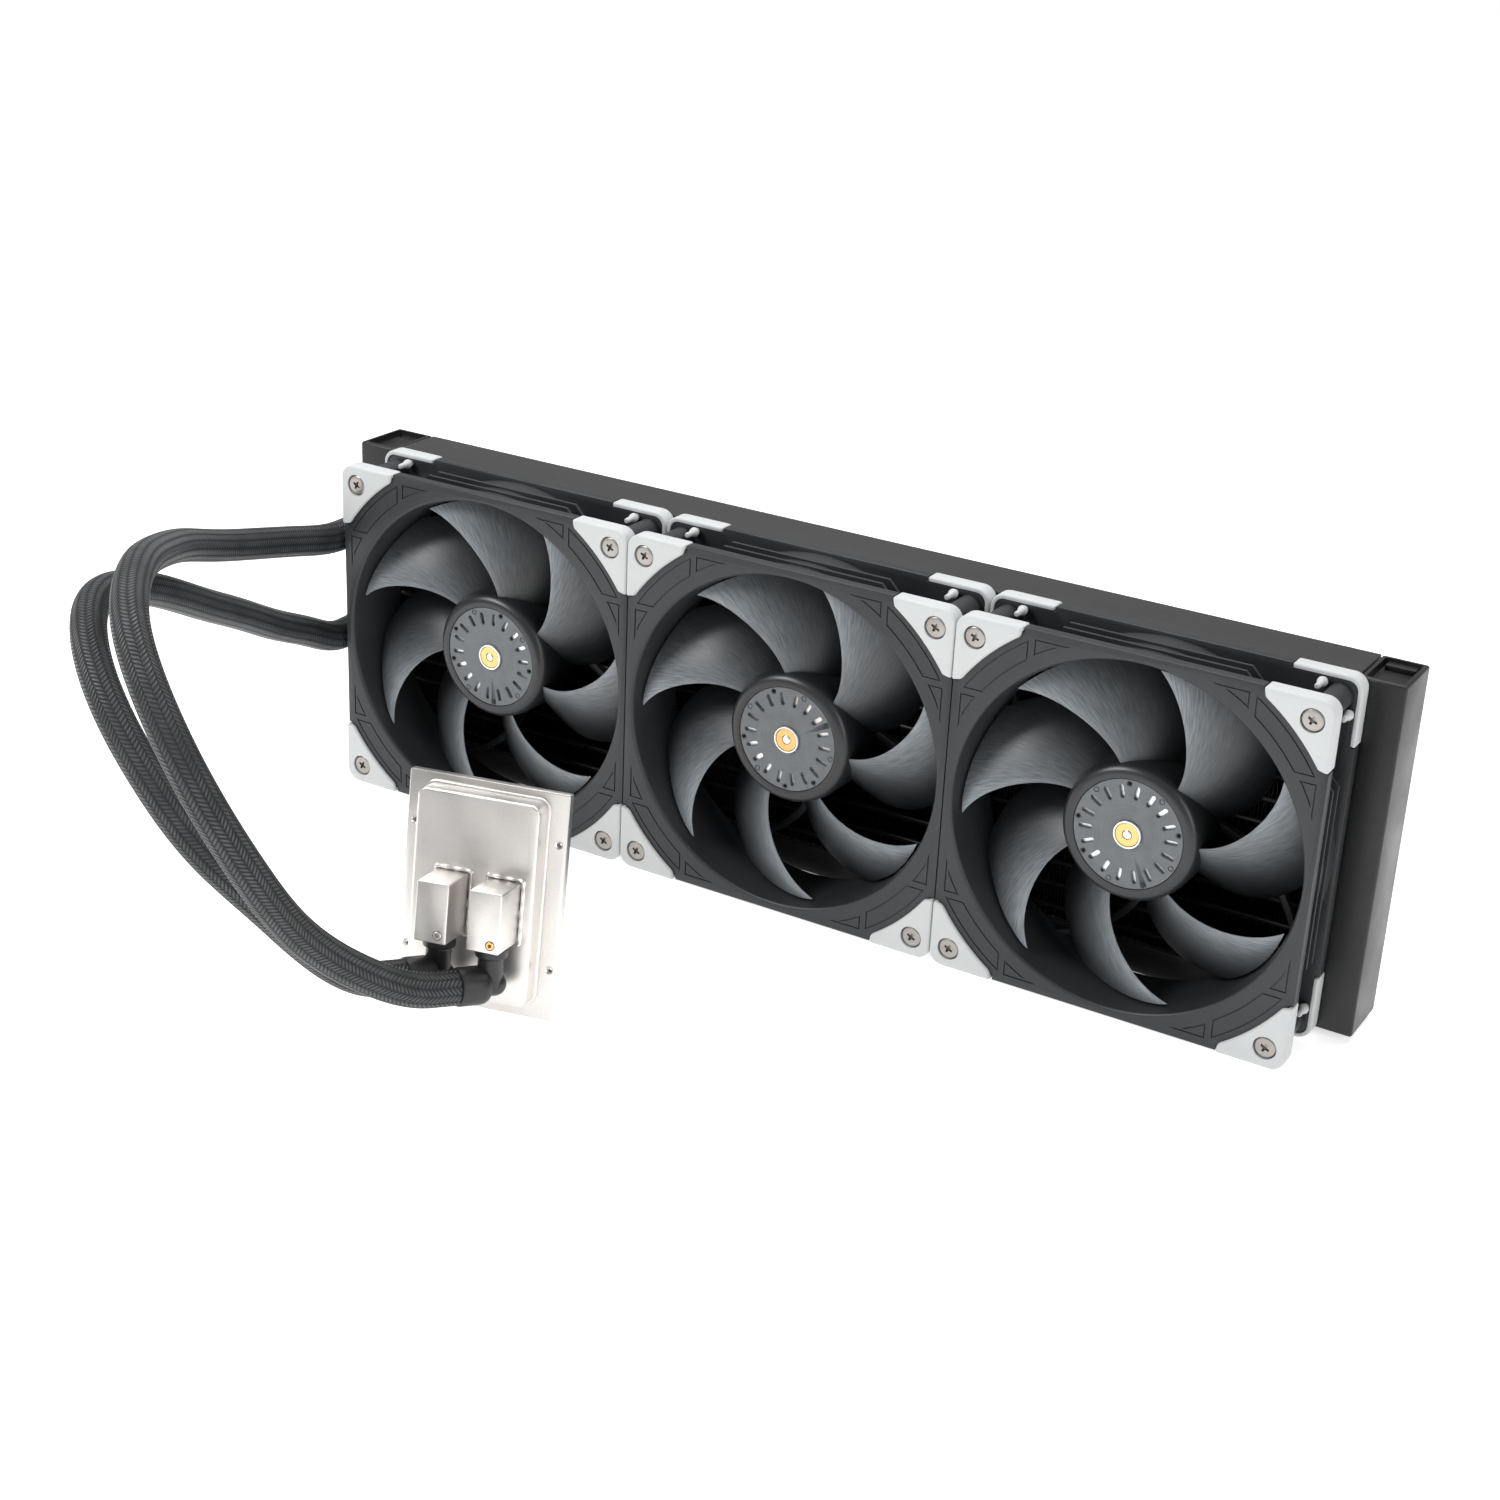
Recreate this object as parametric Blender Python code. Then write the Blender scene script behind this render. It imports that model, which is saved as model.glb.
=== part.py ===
"""Liquid cooling radiator: three fans on a finned radiator, two hoses and a cooling block.

Lengths are in millimetres and become metres when an object is made (MM). Inside this script x = 0 and
y = 0 are the middle fan's axis and the plane of the fan screws' heads, z = 0 is the ground under the
fans, and +y points from the fans to the radiator. Every object is then moved by -BASE_CENTRE, so that
the origin is the centre of the base of the radiator, fans and block together.
"""

import math

import bmesh
import bpy
import numpy as np
from mathutils import Matrix, Vector

MM = 0.001
GAP = 0.3            # clearance between neighbouring pieces
ROUND_STEPS = 16     # facets of a small round piece
DUCT_STEPS = 32      # facets of a fan's duct

# Fans
FAN_COUNT = 3
FAN_SIZE = 140.0
FAN_SPACING = 0.3    # between neighbouring fans
HOLE_INSET = 7.75    # screw hole's axis from the frame's outer faces
FRAME_FRONT_Y = -0.3
FRAME_REAR_Y = 30.7
FLANGE_THICKNESS = 4.6
FRAME_WALL = 3.5     # duct wall at the middle of a side
DUCT_THICKNESS = 2.9
FRONT_LIP = 0.7      # the duct is this much narrower than the mouth
POST_RADIUS = 4.6
CORNER_RADIUS = 5.5
SCREW_HOLE_RADIUS = 2.25
SCREW_SEAT_DEPTH = 2.2
SCREW_HEAD_RADIUS = 4.0
SCREW_HEAD_HEIGHT = 3.35
SCREW_HEAD_FRONT_Y = -1.45     # nearly flush with the pads
SCREW_SHANK_RADIUS = 1.9
STRUT_COUNT = 4
STRUT_WIDTH = 3.4
STRUT_DEPTH = 3.2
STRUT_START_DEG = 7.9        # angle at the motor cup
STRUT_SWEEP_DEG_PER_MM = -0.82
CUP_RADIUS = 22.0
CUP_DEPTH = 3.4
BEARING_RADIUS = 4.0

# Corner pads
PAD_LEG = 25.6
PAD_FRONT_Y = -1.8
PAD_PLATE = 1.2
PAD_WALL = 1.7
PAD_WRAP = 7.5
PAD_ARC_MARGIN = 10.3         # inner arc beyond the middle of the fan's side
PAD_TIP_DEPTH = 3.6
REAR_LAND = 2.1      # rear pads, standing behind the frame

# Impellers
BLADE_COUNT = 7
TIP_CLEARANCE = 1.2
HUB_RADIUS = 26.5
HUB_FRONT_Y = 5.7
HUB_REAR_Y = 26.0
HUB_WALL = 2.3
HUB_STEPS = 21
BLADE_THICKNESS = 1.3
IMPELLER_TURN_DEG = (-16.1, 99.5, 3.0)
# Blade stations from hub to tip: share of the way out, leading and trailing edge angle and depth
BLADE_STATIONS = (
    (-0.04, -1.2, 8.6, -42.6, 26.0),
    (0.38, 9.4, 5.6, -33.2, 25.6),
    (0.70, 19.6, 4.4, -22.2, 24.1),
    (0.86, 24.9, 4.2, -13.2, 22.2),
    (1.0, 30.5, 4.4, -5.5, 19.6),
)
BUSHING_RADIUS = 5.4
YOKE_WALL = 1.5
SHAFT_RADIUS = 1.5
STATOR_RADIUS = 20.0
STATOR_FRONT_Y = 13.0
STATOR_REAR_Y = 24.0

# Radiator
RADIATOR_FRONT_Y = 33.1
RADIATOR_DEPTH = 25.8
RADIATOR_INSET_Z = 2.1        # below the fans' top and above their bottom
PORT_TANK_OVERHANG = 0.35     # the port tank starts this far outside the fan row
PORT_TANK_WIDTH = 18.0
FAR_TANK_OVERLAP = 4.45       # the far tank starts this far inside the fan row
FAR_TANK_WIDTH = 17.0
TANK_WALL = 2.0
TANK_POCKET_DEPTH = 3.0
SIDE_PLATE_HEIGHT = 12.0
SIDE_PLATE_WALL = 1.2
TUBE_COUNT = 12
TUBE_HEIGHT = 2.0
HEADER_THICKNESS = 1.5
FIN_SET_BACK = 1.0

# Hoses
HOSE_DIAMETER = 12.7
HOSE_POINT_SPACING = 25.0
HOSE_STRAIGHT = 8.0           # straight stretch at each end of a hose
FERRULE_RADIUS = 6.9
PORT_INSET_X = 9.3            # ports' axis from the port tank's outer face
UPPER_PORT_Z = 105.0
LOWER_PORT_Z = 61.3
PORT_HOLE_RADIUS = 5.2
FITTING_LENGTH = 5.8
RADIATOR_FERRULE_LENGTH = 11.4
UPPER_ROUTE = (
    (-219.5, 15.0, 105.0), (-219, -17, 109), (-215, -48, 117), (-208, -79, 126), (-197, -107, 136),
    (-181, -134, 145), (-163, -160, 153), (-144, -185, 158), (-123, -209, 153), (-100, -223, 135),
    (-82, -224, 109), (-70, -215, 80), (-63, -199, 53), (-51.3, -178.2, 32.4), (-37.2, -151.7, 21.5),
)
LOWER_ROUTE = (
    (-219.5, 15.0, 61.3), (-219, -13, 68), (-215, -39, 80), (-210, -64, 93), (-204, -90, 106),
    (-199, -115, 119), (-193, -141, 130), (-182, -167, 135), (-164, -188, 130), (-143, -201, 116),
    (-123, -204, 95), (-105, -200, 73), (-86, -191, 53), (-70.3, -178.2, 32.4), (-56.3, -156.2, 21.5),
)

# Cooling block, in its own frame: x along the plate, y up the plate, d out of the plate's front
BLOCK_FOOT = (-76.0, -136.1)  # plate's lower left front corner on the ground plan
BLOCK_YAW_DEG = 13.494
BLOCK_LEAN_DEG = 10.21
PLATE_WIDTH = 60.65
PLATE_HEIGHT = 83.2
PLATE_THICKNESS = 3.5
PLATE_HOLE_RADIUS = 1.2
PLATE_HOLE_SPACING_X = 54.8
PLATE_HOLE_SPACING_Y = 45.9
PLATE_HOLE_CENTRE_Y = 41.75
HOUSING_X = (7.4, 53.3)
HOUSING_Y = (6.0, 80.0)
HOUSING_HEIGHT = 9.5
HOUSING_STEP = 1.0            # low flange round the housing
HOUSING_STEP_HEIGHT = 2.0
PORT_BOX_WIDTH = 12.0
PORT_BOX_CENTRES_X = (23.1, 42.75)
PORT_BOX_Y = (30.3, 52.0)
PORT_BOX_TOP = 27.0
BRAZE_LIP = 0.9
PLUG_RADIUS = 1.5
COLD_PLATE_X = (12.3, 48.3)
COLD_PLATE_Y = (18.0, 66.0)
COLD_PLATE_PROUD = 1.0
ELBOW_AXIS_Y = 16.3
ELBOW_AXIS_D = 18.0
ELBOW_TURN_DEG = 48.0         # outlet's direction, from the plate's -x towards its front
STUB_RADIUS = 4.5
BARREL_RADIUS = 4.1
SHOULDER_START = 1.5
SHOULDER_END = 5.0
BLOCK_FERRULE_END = 12.5

# Worked out from the sizes above
FAN_PITCH = FAN_SIZE + FAN_SPACING
ROW_HALF = FAN_COUNT * FAN_PITCH / 2
FAN_HALF = FAN_SIZE / 2
HOLE_OFFSET = FAN_HALF - HOLE_INSET
PAD_ARC_RADIUS = FAN_HALF + PAD_ARC_MARGIN
BORE_RADIUS = FAN_HALF - FRAME_WALL
BORE_STEP_RADIUS = BORE_RADIUS - FRONT_LIP
TIP_RADIUS = BORE_STEP_RADIUS - TIP_CLEARANCE
PORT_TANK_X1 = -ROW_HALF - PORT_TANK_OVERHANG
PORT_TANK_X0 = PORT_TANK_X1 - PORT_TANK_WIDTH
FAR_TANK_X0 = ROW_HALF - FAR_TANK_OVERLAP
FAR_TANK_X1 = FAR_TANK_X0 + FAR_TANK_WIDTH
RADIATOR_REAR_Y = RADIATOR_FRONT_Y + RADIATOR_DEPTH
RADIATOR_Z0 = RADIATOR_INSET_Z
RADIATOR_Z1 = FAN_SIZE - RADIATOR_INSET_Z
CORE_Z0 = RADIATOR_Z0 + SIDE_PLATE_HEIGHT
CORE_Z1 = RADIATOR_Z1 - SIDE_PLATE_HEIGHT
PORT_X = PORT_TANK_X0 + PORT_INSET_X


def block_axes():
    """The block's x, y and outward directions, and its foot point raised to stand on the ground."""
    yaw = math.radians(BLOCK_YAW_DEG)
    lean = math.radians(BLOCK_LEAN_DEG)
    across = Vector((math.cos(yaw), math.sin(yaw), 0))
    out = Vector((math.sin(yaw) * math.cos(lean), -math.cos(yaw) * math.cos(lean), math.sin(lean)))
    up = out.cross(across)
    foot = Vector((*BLOCK_FOOT, PLATE_THICKNESS * math.sin(lean)))
    return foot, across, up, out


BLOCK_ORIGIN, BLOCK_X, BLOCK_Y, BLOCK_OUT = block_axes()
BLOCK_MATRIX = Matrix((
    (BLOCK_X.x, BLOCK_Y.x, BLOCK_OUT.x, BLOCK_ORIGIN.x),
    (BLOCK_X.y, BLOCK_Y.y, BLOCK_OUT.y, BLOCK_ORIGIN.y),
    (BLOCK_X.z, BLOCK_Y.z, BLOCK_OUT.z, BLOCK_ORIGIN.z),
    (0, 0, 0, 1),
))
BLOCK_FRONT_CORNER = BLOCK_MATRIX @ Vector((PORT_BOX_CENTRES_X[0] - PORT_BOX_WIDTH / 2, PORT_BOX_Y[0], PORT_BOX_TOP))
BASE_CENTRE = Vector((
    (PORT_TANK_X0 + FAR_TANK_X1) / 2,
    (BLOCK_FRONT_CORNER.y + RADIATOR_REAR_Y) / 2,
    0,
))


# Building tools ------------------------------------------------------------------------------------


def clear_scene():
    for old in list(bpy.data.objects):
        bpy.data.objects.remove(old, do_unlink=True)


def material(name, colour, roughness, metallic=0.0):
    made = bpy.data.materials.new(name)
    made.use_nodes = True
    shader = made.node_tree.nodes["Principled BSDF"]
    shader.inputs["Base Color"].default_value = (*colour, 1)
    shader.inputs["Roughness"].default_value = roughness
    shader.inputs["Metallic"].default_value = metallic
    return made


def shape(name, points, faces):
    """A scratch object in millimetres, with its faces turned outwards."""
    mesh = bpy.data.meshes.new(name)
    mesh.from_pydata([tuple(p) for p in points], [], faces)
    work = bmesh.new()
    work.from_mesh(mesh)
    bmesh.ops.remove_doubles(work, verts=work.verts, dist=1e-5)
    bmesh.ops.recalc_face_normals(work, faces=work.faces)
    work.to_mesh(mesh)
    work.free()
    made = bpy.data.objects.new(name, mesh)
    bpy.context.scene.collection.objects.link(made)
    return made


def box(x, y, z):
    """A block between the two limits of each axis."""
    points = [(i, j, k) for i in x for j in y for k in z]
    faces = [(0, 1, 3, 2), (4, 6, 7, 5), (0, 4, 5, 1), (2, 3, 7, 6), (0, 2, 6, 4), (1, 5, 7, 3)]
    return shape("box", points, faces)


def prism(outline, low, high):
    """An (x, z) outline extruded along y from low to high."""
    count = len(outline)
    points = [(x, y, z) for y in (low, high) for x, z in outline]
    faces = [tuple(range(count)), tuple(range(2 * count - 1, count - 1, -1))]
    faces += [(i, (i + 1) % count, (i + 1) % count + count, i + count) for i in range(count)]
    return shape("prism", points, faces)


def turned(profile, steps=ROUND_STEPS):
    """A closed (radius, y) profile turned about the y axis."""
    points = []
    rings = []
    for radius, y in profile:
        if radius == 0:
            rings.append([len(points)] * steps)
            points.append((0, y, 0))
            continue
        rings.append(list(range(len(points), len(points) + steps)))
        for step in range(steps):
            angle = 2 * math.pi * step / steps
            points.append((radius * math.cos(angle), y, radius * math.sin(angle)))
    faces = []
    for here, there in zip(rings, rings[1:] + rings[:1]):
        for step in range(steps):
            after = (step + 1) % steps
            corners = (here[step], here[after], there[after], there[step])
            corners = tuple(dict.fromkeys(corners))
            if len(corners) > 2:
                faces.append(corners)
    return shape("turned", points, faces)


def cylinder(radius, low, high, steps=ROUND_STEPS):
    return turned([(0, low), (radius, low), (radius, high), (0, high)], steps)


def placed(made, matrix):
    made.data.transform(matrix)
    return made


def moved(made, x=0.0, y=0.0, z=0.0):
    return placed(made, Matrix.Translation((x, y, z)))


def combined(target, others, operation):
    """Applies one exact Boolean after another to target and removes the other shapes."""
    for other in others:
        step = target.modifiers.new(operation, "BOOLEAN")
        step.operation = operation
        step.solver = "EXACT"
        step.object = other
        bpy.context.view_layer.update()
        graph = bpy.context.evaluated_depsgraph_get()
        result = bpy.data.meshes.new_from_object(target.evaluated_get(graph))
        target.modifiers.clear()
        target.data = result
        bpy.data.objects.remove(other, do_unlink=True)
    return target


def union(target, *others):
    return combined(target, others, "UNION")


def cut(target, *others):
    return combined(target, others, "DIFFERENCE")


def bevelled(made, width, angle_deg=40.0):
    """Breaks the sharp edges of a shape with one flat bevel."""
    step = made.modifiers.new("edges", "BEVEL")
    step.width = width
    step.segments = 1
    step.limit_method = "ANGLE"
    step.angle_limit = math.radians(angle_deg)
    bpy.context.view_layer.update()
    graph = bpy.context.evaluated_depsgraph_get()
    result = bpy.data.meshes.new_from_object(made.evaluated_get(graph))
    made.modifiers.clear()
    made.data = result
    return made


def finished(name, made, look, origin=(0, 0, 0), smooth=True):
    """Turns a scratch shape into a named object in metres whose origin lies at the given point."""
    made.data.transform(Matrix.Translation(-Vector(origin)))
    made.data.transform(Matrix.Scale(MM, 4))
    made.data.materials.clear()
    made.data.materials.append(look)
    made.data.name = name
    made.name = name
    made.location = (Vector(origin) - BASE_CENTRE) * MM
    if smooth:
        made.data.shade_smooth()
        made.data.set_sharp_from_angle(angle=math.radians(35))
    return made


def copied(name, source, origin):
    """Another object on the same mesh, with its origin at another point."""
    made = bpy.data.objects.new(name, source.data)
    bpy.context.scene.collection.objects.link(made)
    made.location = (Vector(origin) - BASE_CENTRE) * MM
    return made


def arc(radius, start_deg, end_deg, steps, centre=(0.0, 0.0)):
    """Points on an arc in the (x, z) plane, both ends included."""
    angles = [math.radians(start_deg + (end_deg - start_deg) * i / steps) for i in range(steps + 1)]
    return [(centre[0] + radius * math.cos(a), centre[1] + radius * math.sin(a)) for a in angles]


def rounded_square(half, radius, steps=3):
    corners = []
    for quarter, (sx, sz) in enumerate(((1, 1), (-1, 1), (-1, -1), (1, -1))):
        centre = (sx * (half - radius), sz * (half - radius))
        corners += arc(radius, 90 * quarter, 90 * quarter + 90, steps, centre)
    return corners


# Fans ----------------------------------------------------------------------------------------------


def mirrored(points, sx, sz):
    return [(sx * x, sz * z) for x, z in points]


def pad_outline():
    """The face of the upper right corner pad: two legs, a round corner and a concave inner edge."""
    tip = FAN_HALF - PAD_LEG
    inner = FAN_HALF - PAD_TIP_DEPTH
    inner_angle = math.degrees(math.asin(inner / PAD_ARC_RADIUS))
    outer_corner = arc(CORNER_RADIUS, 0, 90, 3, (FAN_HALF - CORNER_RADIUS,) * 2)
    return [(FAN_HALF, tip), *outer_corner, (tip, FAN_HALF),
            *arc(PAD_ARC_RADIUS, inner_angle, 90 - inner_angle, 4)]


def pad_wall_outline():
    """The strip of the upper right corner pad that wraps round the frame's side faces."""
    tip = FAN_HALF - PAD_LEG
    centre = (FAN_HALF - CORNER_RADIUS,) * 2
    outer = arc(CORNER_RADIUS, 0, 90, 3, centre)
    inner = arc(CORNER_RADIUS - PAD_WALL, 90, 0, 3, centre)
    return [(FAN_HALF, tip), *outer, (tip, FAN_HALF), (tip, FAN_HALF - PAD_WALL), *inner,
            (FAN_HALF - PAD_WALL, tip)]


def pad_shape(sx, sz):
    plate = prism(mirrored(pad_outline(), sx, sz), PAD_FRONT_Y, PAD_FRONT_Y + PAD_PLATE)
    wall = prism(mirrored(pad_wall_outline(), sx, sz), PAD_FRONT_Y, PAD_FRONT_Y + PAD_WRAP)
    window = moved(cylinder(SCREW_HEAD_RADIUS + GAP, PAD_FRONT_Y - 1, 1, 12), sx * HOLE_OFFSET, 0, sz * HOLE_OFFSET)
    return cut(union(plate, wall), window)


def front_flange_outline():
    """The frame's square front, set back at each corner to make room for the pad's wrap."""
    room = FAN_HALF - PAD_WALL - GAP
    start = FAN_HALF - PAD_LEG - GAP
    radius = CORNER_RADIUS - PAD_WALL
    corner = arc(radius, 0, 90, 3, (room - radius, room - radius))
    one = [(FAN_HALF, start), (room, start), *corner, (start, room), (start, FAN_HALF)]
    outline = []
    for turn in range(4):
        for x, z in one:
            for _ in range(turn):
                x, z = -z, x
            outline.append((x, z))
    return outline


def strut_shape(start_deg):
    """One swept strut from the motor cup to the duct."""
    radii = np.linspace(CUP_RADIUS - 2, BORE_RADIUS + 1, 5)
    left = []
    right = []
    for radius in radii:
        angle = math.radians(start_deg + STRUT_SWEEP_DEG_PER_MM * (radius - CUP_RADIUS))
        half = STRUT_WIDTH / 2 / radius
        left.append((radius * math.cos(angle + half), radius * math.sin(angle + half)))
        right.append((radius * math.cos(angle - half), radius * math.sin(angle - half)))
    return prism(right + left[::-1], FRAME_REAR_Y - STRUT_DEPTH, FRAME_REAR_Y - 0.1)


def frame_shape():
    """Fan housing: two flanges, duct, corner posts, struts, motor cup with bearing, rear lands."""
    front_end = FRAME_FRONT_Y + FLANGE_THICKNESS
    rear_start = FRAME_REAR_Y - FLANGE_THICKNESS
    body = turned([(10, front_end - 2), (BORE_STEP_RADIUS + DUCT_THICKNESS, front_end - 2),
                   (BORE_STEP_RADIUS + DUCT_THICKNESS, rear_start + 2), (10, rear_start + 2)], DUCT_STEPS)
    body = union(body, prism(front_flange_outline(), FRAME_FRONT_Y, front_end),
                 prism(rounded_square(FAN_HALF, CORNER_RADIUS), rear_start, FRAME_REAR_Y))
    bore = turned([(0, FRAME_FRONT_Y - 1), (BORE_RADIUS + 1.2, FRAME_FRONT_Y - 1),
                   (BORE_RADIUS + 1.2, FRAME_FRONT_Y), (BORE_STEP_RADIUS, FRAME_FRONT_Y + 1.9),
                   (BORE_STEP_RADIUS, FRAME_REAR_Y + 1),
                   (0, FRAME_REAR_Y + 1)], DUCT_STEPS)
    body = cut(body, bore)
    for sx in (1, -1):
        for sz in (1, -1):
            x = sx * HOLE_OFFSET
            z = sz * HOLE_OFFSET
            post = moved(cylinder(POST_RADIUS, front_end - 1, rear_start + 1, 10), x, 0, z)
            land = prism(mirrored(pad_outline(), sx, sz), FRAME_REAR_Y - 1, FRAME_REAR_Y + REAR_LAND)
            hole = moved(turned([(0, FRAME_FRONT_Y - 1), (SCREW_HEAD_RADIUS + GAP, FRAME_FRONT_Y - 1),
                                 (SCREW_HEAD_RADIUS + GAP, SCREW_SEAT_DEPTH),
                                 (SCREW_HOLE_RADIUS, SCREW_SEAT_DEPTH),
                                 (SCREW_HOLE_RADIUS, FRAME_REAR_Y + REAR_LAND + 1),
                                 (0, FRAME_REAR_Y + REAR_LAND + 1)], 10), x, 0, z)
            body = cut(union(body, post, land), hole)
    cup = turned([(0, FRAME_REAR_Y), (0, FRAME_REAR_Y - 2.0), (SHAFT_RADIUS + GAP, FRAME_REAR_Y - 2.0),
                  (SHAFT_RADIUS + GAP, STATOR_FRONT_Y - 1), (BEARING_RADIUS, STATOR_FRONT_Y - 1),
                  (BEARING_RADIUS, FRAME_REAR_Y - CUP_DEPTH), (CUP_RADIUS, FRAME_REAR_Y - CUP_DEPTH),
                  (CUP_RADIUS, FRAME_REAR_Y)], 20)
    struts = [strut_shape(STRUT_START_DEG + 360 * i / STRUT_COUNT) for i in range(STRUT_COUNT)]
    return union(body, union(cup, *struts))


def blade_shape(turn_deg):
    """One swept blade as a thin closed shell between its leading and trailing edges."""
    chord_steps = 4
    rows = len(BLADE_STATIONS)
    middle = np.zeros((rows, chord_steps + 1, 3))
    for row, (share, lead_deg, lead_y, trail_deg, trail_y) in enumerate(BLADE_STATIONS):
        radius = HUB_RADIUS + share * (TIP_RADIUS - HUB_RADIUS)
        for step in range(chord_steps + 1):
            along = step / chord_steps
            angle = math.radians(turn_deg + lead_deg + (trail_deg - lead_deg) * along)
            depth = lead_y + (trail_y - lead_y) * along ** 1.25
            middle[row, step] = (radius * math.cos(angle), depth, radius * math.sin(angle))
    outward = np.gradient(middle, axis=0)
    along_chord = np.gradient(middle, axis=1)
    normal = np.cross(outward, along_chord)
    normal /= np.linalg.norm(normal, axis=2, keepdims=True)
    taper = np.array([0.35 if step in (0, chord_steps) else 1.0 for step in range(chord_steps + 1)])
    half = normal * (BLADE_THICKNESS / 2) * taper[None, :, None]
    front = (middle + half).reshape(-1, 3)
    back = (middle - half).reshape(-1, 3)
    points = np.vstack((front, back))
    width = chord_steps + 1
    count = rows * width
    faces = []
    for row in range(rows - 1):
        for step in range(chord_steps):
            a = row * width + step
            faces.append((a, a + 1, a + width + 1, a + width))
            faces.append((count + a, count + a + width, count + a + width + 1, count + a + 1))
    rim = [*range(width), *[row * width + chord_steps for row in range(1, rows)],
           *[(rows - 1) * width + step for step in range(chord_steps - 1, -1, -1)],
           *[row * width for row in range(rows - 2, 0, -1)]]
    for a, b in zip(rim, rim[1:] + rim[:1]):
        faces.append((b, a, count + a, count + b))
    return shape("blade", points, faces)


def impeller_shape():
    """Hub cap with the bushing's hole in its front, and the blades."""
    inner = HUB_RADIUS - HUB_WALL
    front = HUB_FRONT_Y + 2.4
    hole = BUSHING_RADIUS + GAP
    hub = turned([(hole, HUB_FRONT_Y), (HUB_RADIUS - 3.3, HUB_FRONT_Y), (HUB_RADIUS, HUB_FRONT_Y + 3.3),
                  (HUB_RADIUS, HUB_REAR_Y), (inner, HUB_REAR_Y), (inner, front), (hole, front)], HUB_STEPS)
    return union(hub, *[blade_shape(360 * index / BLADE_COUNT) for index in range(BLADE_COUNT)])


def rotor_shape():
    """Steel yoke with the bushing in front and the shaft behind."""
    outer = (HUB_RADIUS - HUB_WALL) * math.cos(math.pi / HUB_STEPS) - GAP
    front = HUB_FRONT_Y + 2.4 + GAP
    return turned([(0, HUB_FRONT_Y - 0.6), (BUSHING_RADIUS, HUB_FRONT_Y - 0.6), (BUSHING_RADIUS, front),
                   (outer, front), (outer, STATOR_REAR_Y), (outer - YOKE_WALL, STATOR_REAR_Y),
                   (outer - YOKE_WALL, front + 1.2), (SHAFT_RADIUS, front + 1.2),
                   (SHAFT_RADIUS, FRAME_REAR_Y - 2.0 - 2 * GAP), (0, FRAME_REAR_Y - 2.0 - 2 * GAP)], 16)


def stator_shape():
    ring = turned([(BEARING_RADIUS + GAP, STATOR_FRONT_Y), (STATOR_RADIUS, STATOR_FRONT_Y),
                   (STATOR_RADIUS, STATOR_REAR_Y), (BEARING_RADIUS + GAP, STATOR_REAR_Y)], 20)
    for index in range(4):
        turn = Matrix.Rotation(math.radians(90 * index + 45), 4, "Y")
        slot = box((STATOR_RADIUS - 9, STATOR_RADIUS + 2), (STATOR_FRONT_Y - 1, STATOR_REAR_Y + 1), (-1.2, 1.2))
        ring = cut(ring, placed(slot, turn))
    return ring


def screw_shape():
    """Fan screw: flat head and a plain shank that reaches into the side plate."""
    end = RADIATOR_FRONT_Y + SIDE_PLATE_WALL + 2.2
    front = SCREW_HEAD_FRONT_Y
    back = front + SCREW_HEAD_HEIGHT
    return turned([(0, front), (SCREW_HEAD_RADIUS, front), (SCREW_HEAD_RADIUS, back),
                   (SCREW_SHANK_RADIUS, back), (SCREW_SHANK_RADIUS, end), (0, end)], 10)


def add_fans(looks):
    corners = (("tl", -1, 1), ("tr", 1, 1), ("bl", -1, -1), ("br", 1, -1))
    centres = [((index - (FAN_COUNT - 1) / 2) * FAN_PITCH, 0, FAN_HALF) for index in range(FAN_COUNT)]
    kinds = {"frame": (frame_shape(), looks["frame"]), "impeller": (impeller_shape(), looks["blade"]),
             "rotor": (rotor_shape(), looks["steel"]), "stator": (stator_shape(), looks["copper"])}
    for kind, (made, look) in kinds.items():
        first = None
        for index, centre in enumerate(centres):
            name = f"fan_{index + 1}_{kind}"
            if first is None:
                first = finished(name, moved(made, *centre), look, centre)
                piece = first
            else:
                piece = copied(name, first, centre)
            if kind in ("impeller", "rotor"):
                turn = IMPELLER_TURN_DEG[index % len(IMPELLER_TURN_DEG)]
                piece.rotation_euler = (0, -math.radians(turn), 0)
    for corner, sx, sz in corners:
        first_pad = None
        for index, centre in enumerate(centres):
            name = f"fan_{index + 1}_pad_{corner}"
            if first_pad is None:
                first_pad = finished(name, moved(pad_shape(sx, sz), *centre), looks["pad"], centre)
            else:
                copied(name, first_pad, centre)
    first_screw = None
    for index, centre in enumerate(centres):
        for corner, sx, sz in corners:
            name = f"fan_{index + 1}_screw_{corner}"
            at = (centre[0] + sx * HOLE_OFFSET, 0, centre[2] + sz * HOLE_OFFSET)
            if first_screw is None:
                first_screw = finished(name, moved(screw_shape(), *at), looks["nickel"], at)
            else:
                copied(name, first_screw, at)


# Radiator ------------------------------------------------------------------------------------------


def tank_shape(x0, x1, core_side):
    """Tank box with a pocket on top and a chamber open to the core."""
    body = bevelled(box((x0, x1), (RADIATOR_FRONT_Y, RADIATOR_REAR_Y), (RADIATOR_Z0, RADIATOR_Z1)), 0.8)
    inset = TANK_WALL
    pocket = box((x0 + inset, x1 - inset), (RADIATOR_FRONT_Y + inset, RADIATOR_REAR_Y - inset),
                 (RADIATOR_Z1 - TANK_POCKET_DEPTH, RADIATOR_Z1 + 1))
    low = x0 + inset if core_side > 0 else x0 - 1
    high = x1 + 1 if core_side > 0 else x1 - inset
    chamber = box((low, high), (RADIATOR_FRONT_Y + inset, RADIATOR_REAR_Y - inset),
                  (CORE_Z0 - 4, CORE_Z1 + 4))
    return cut(body, pocket, chamber)


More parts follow.
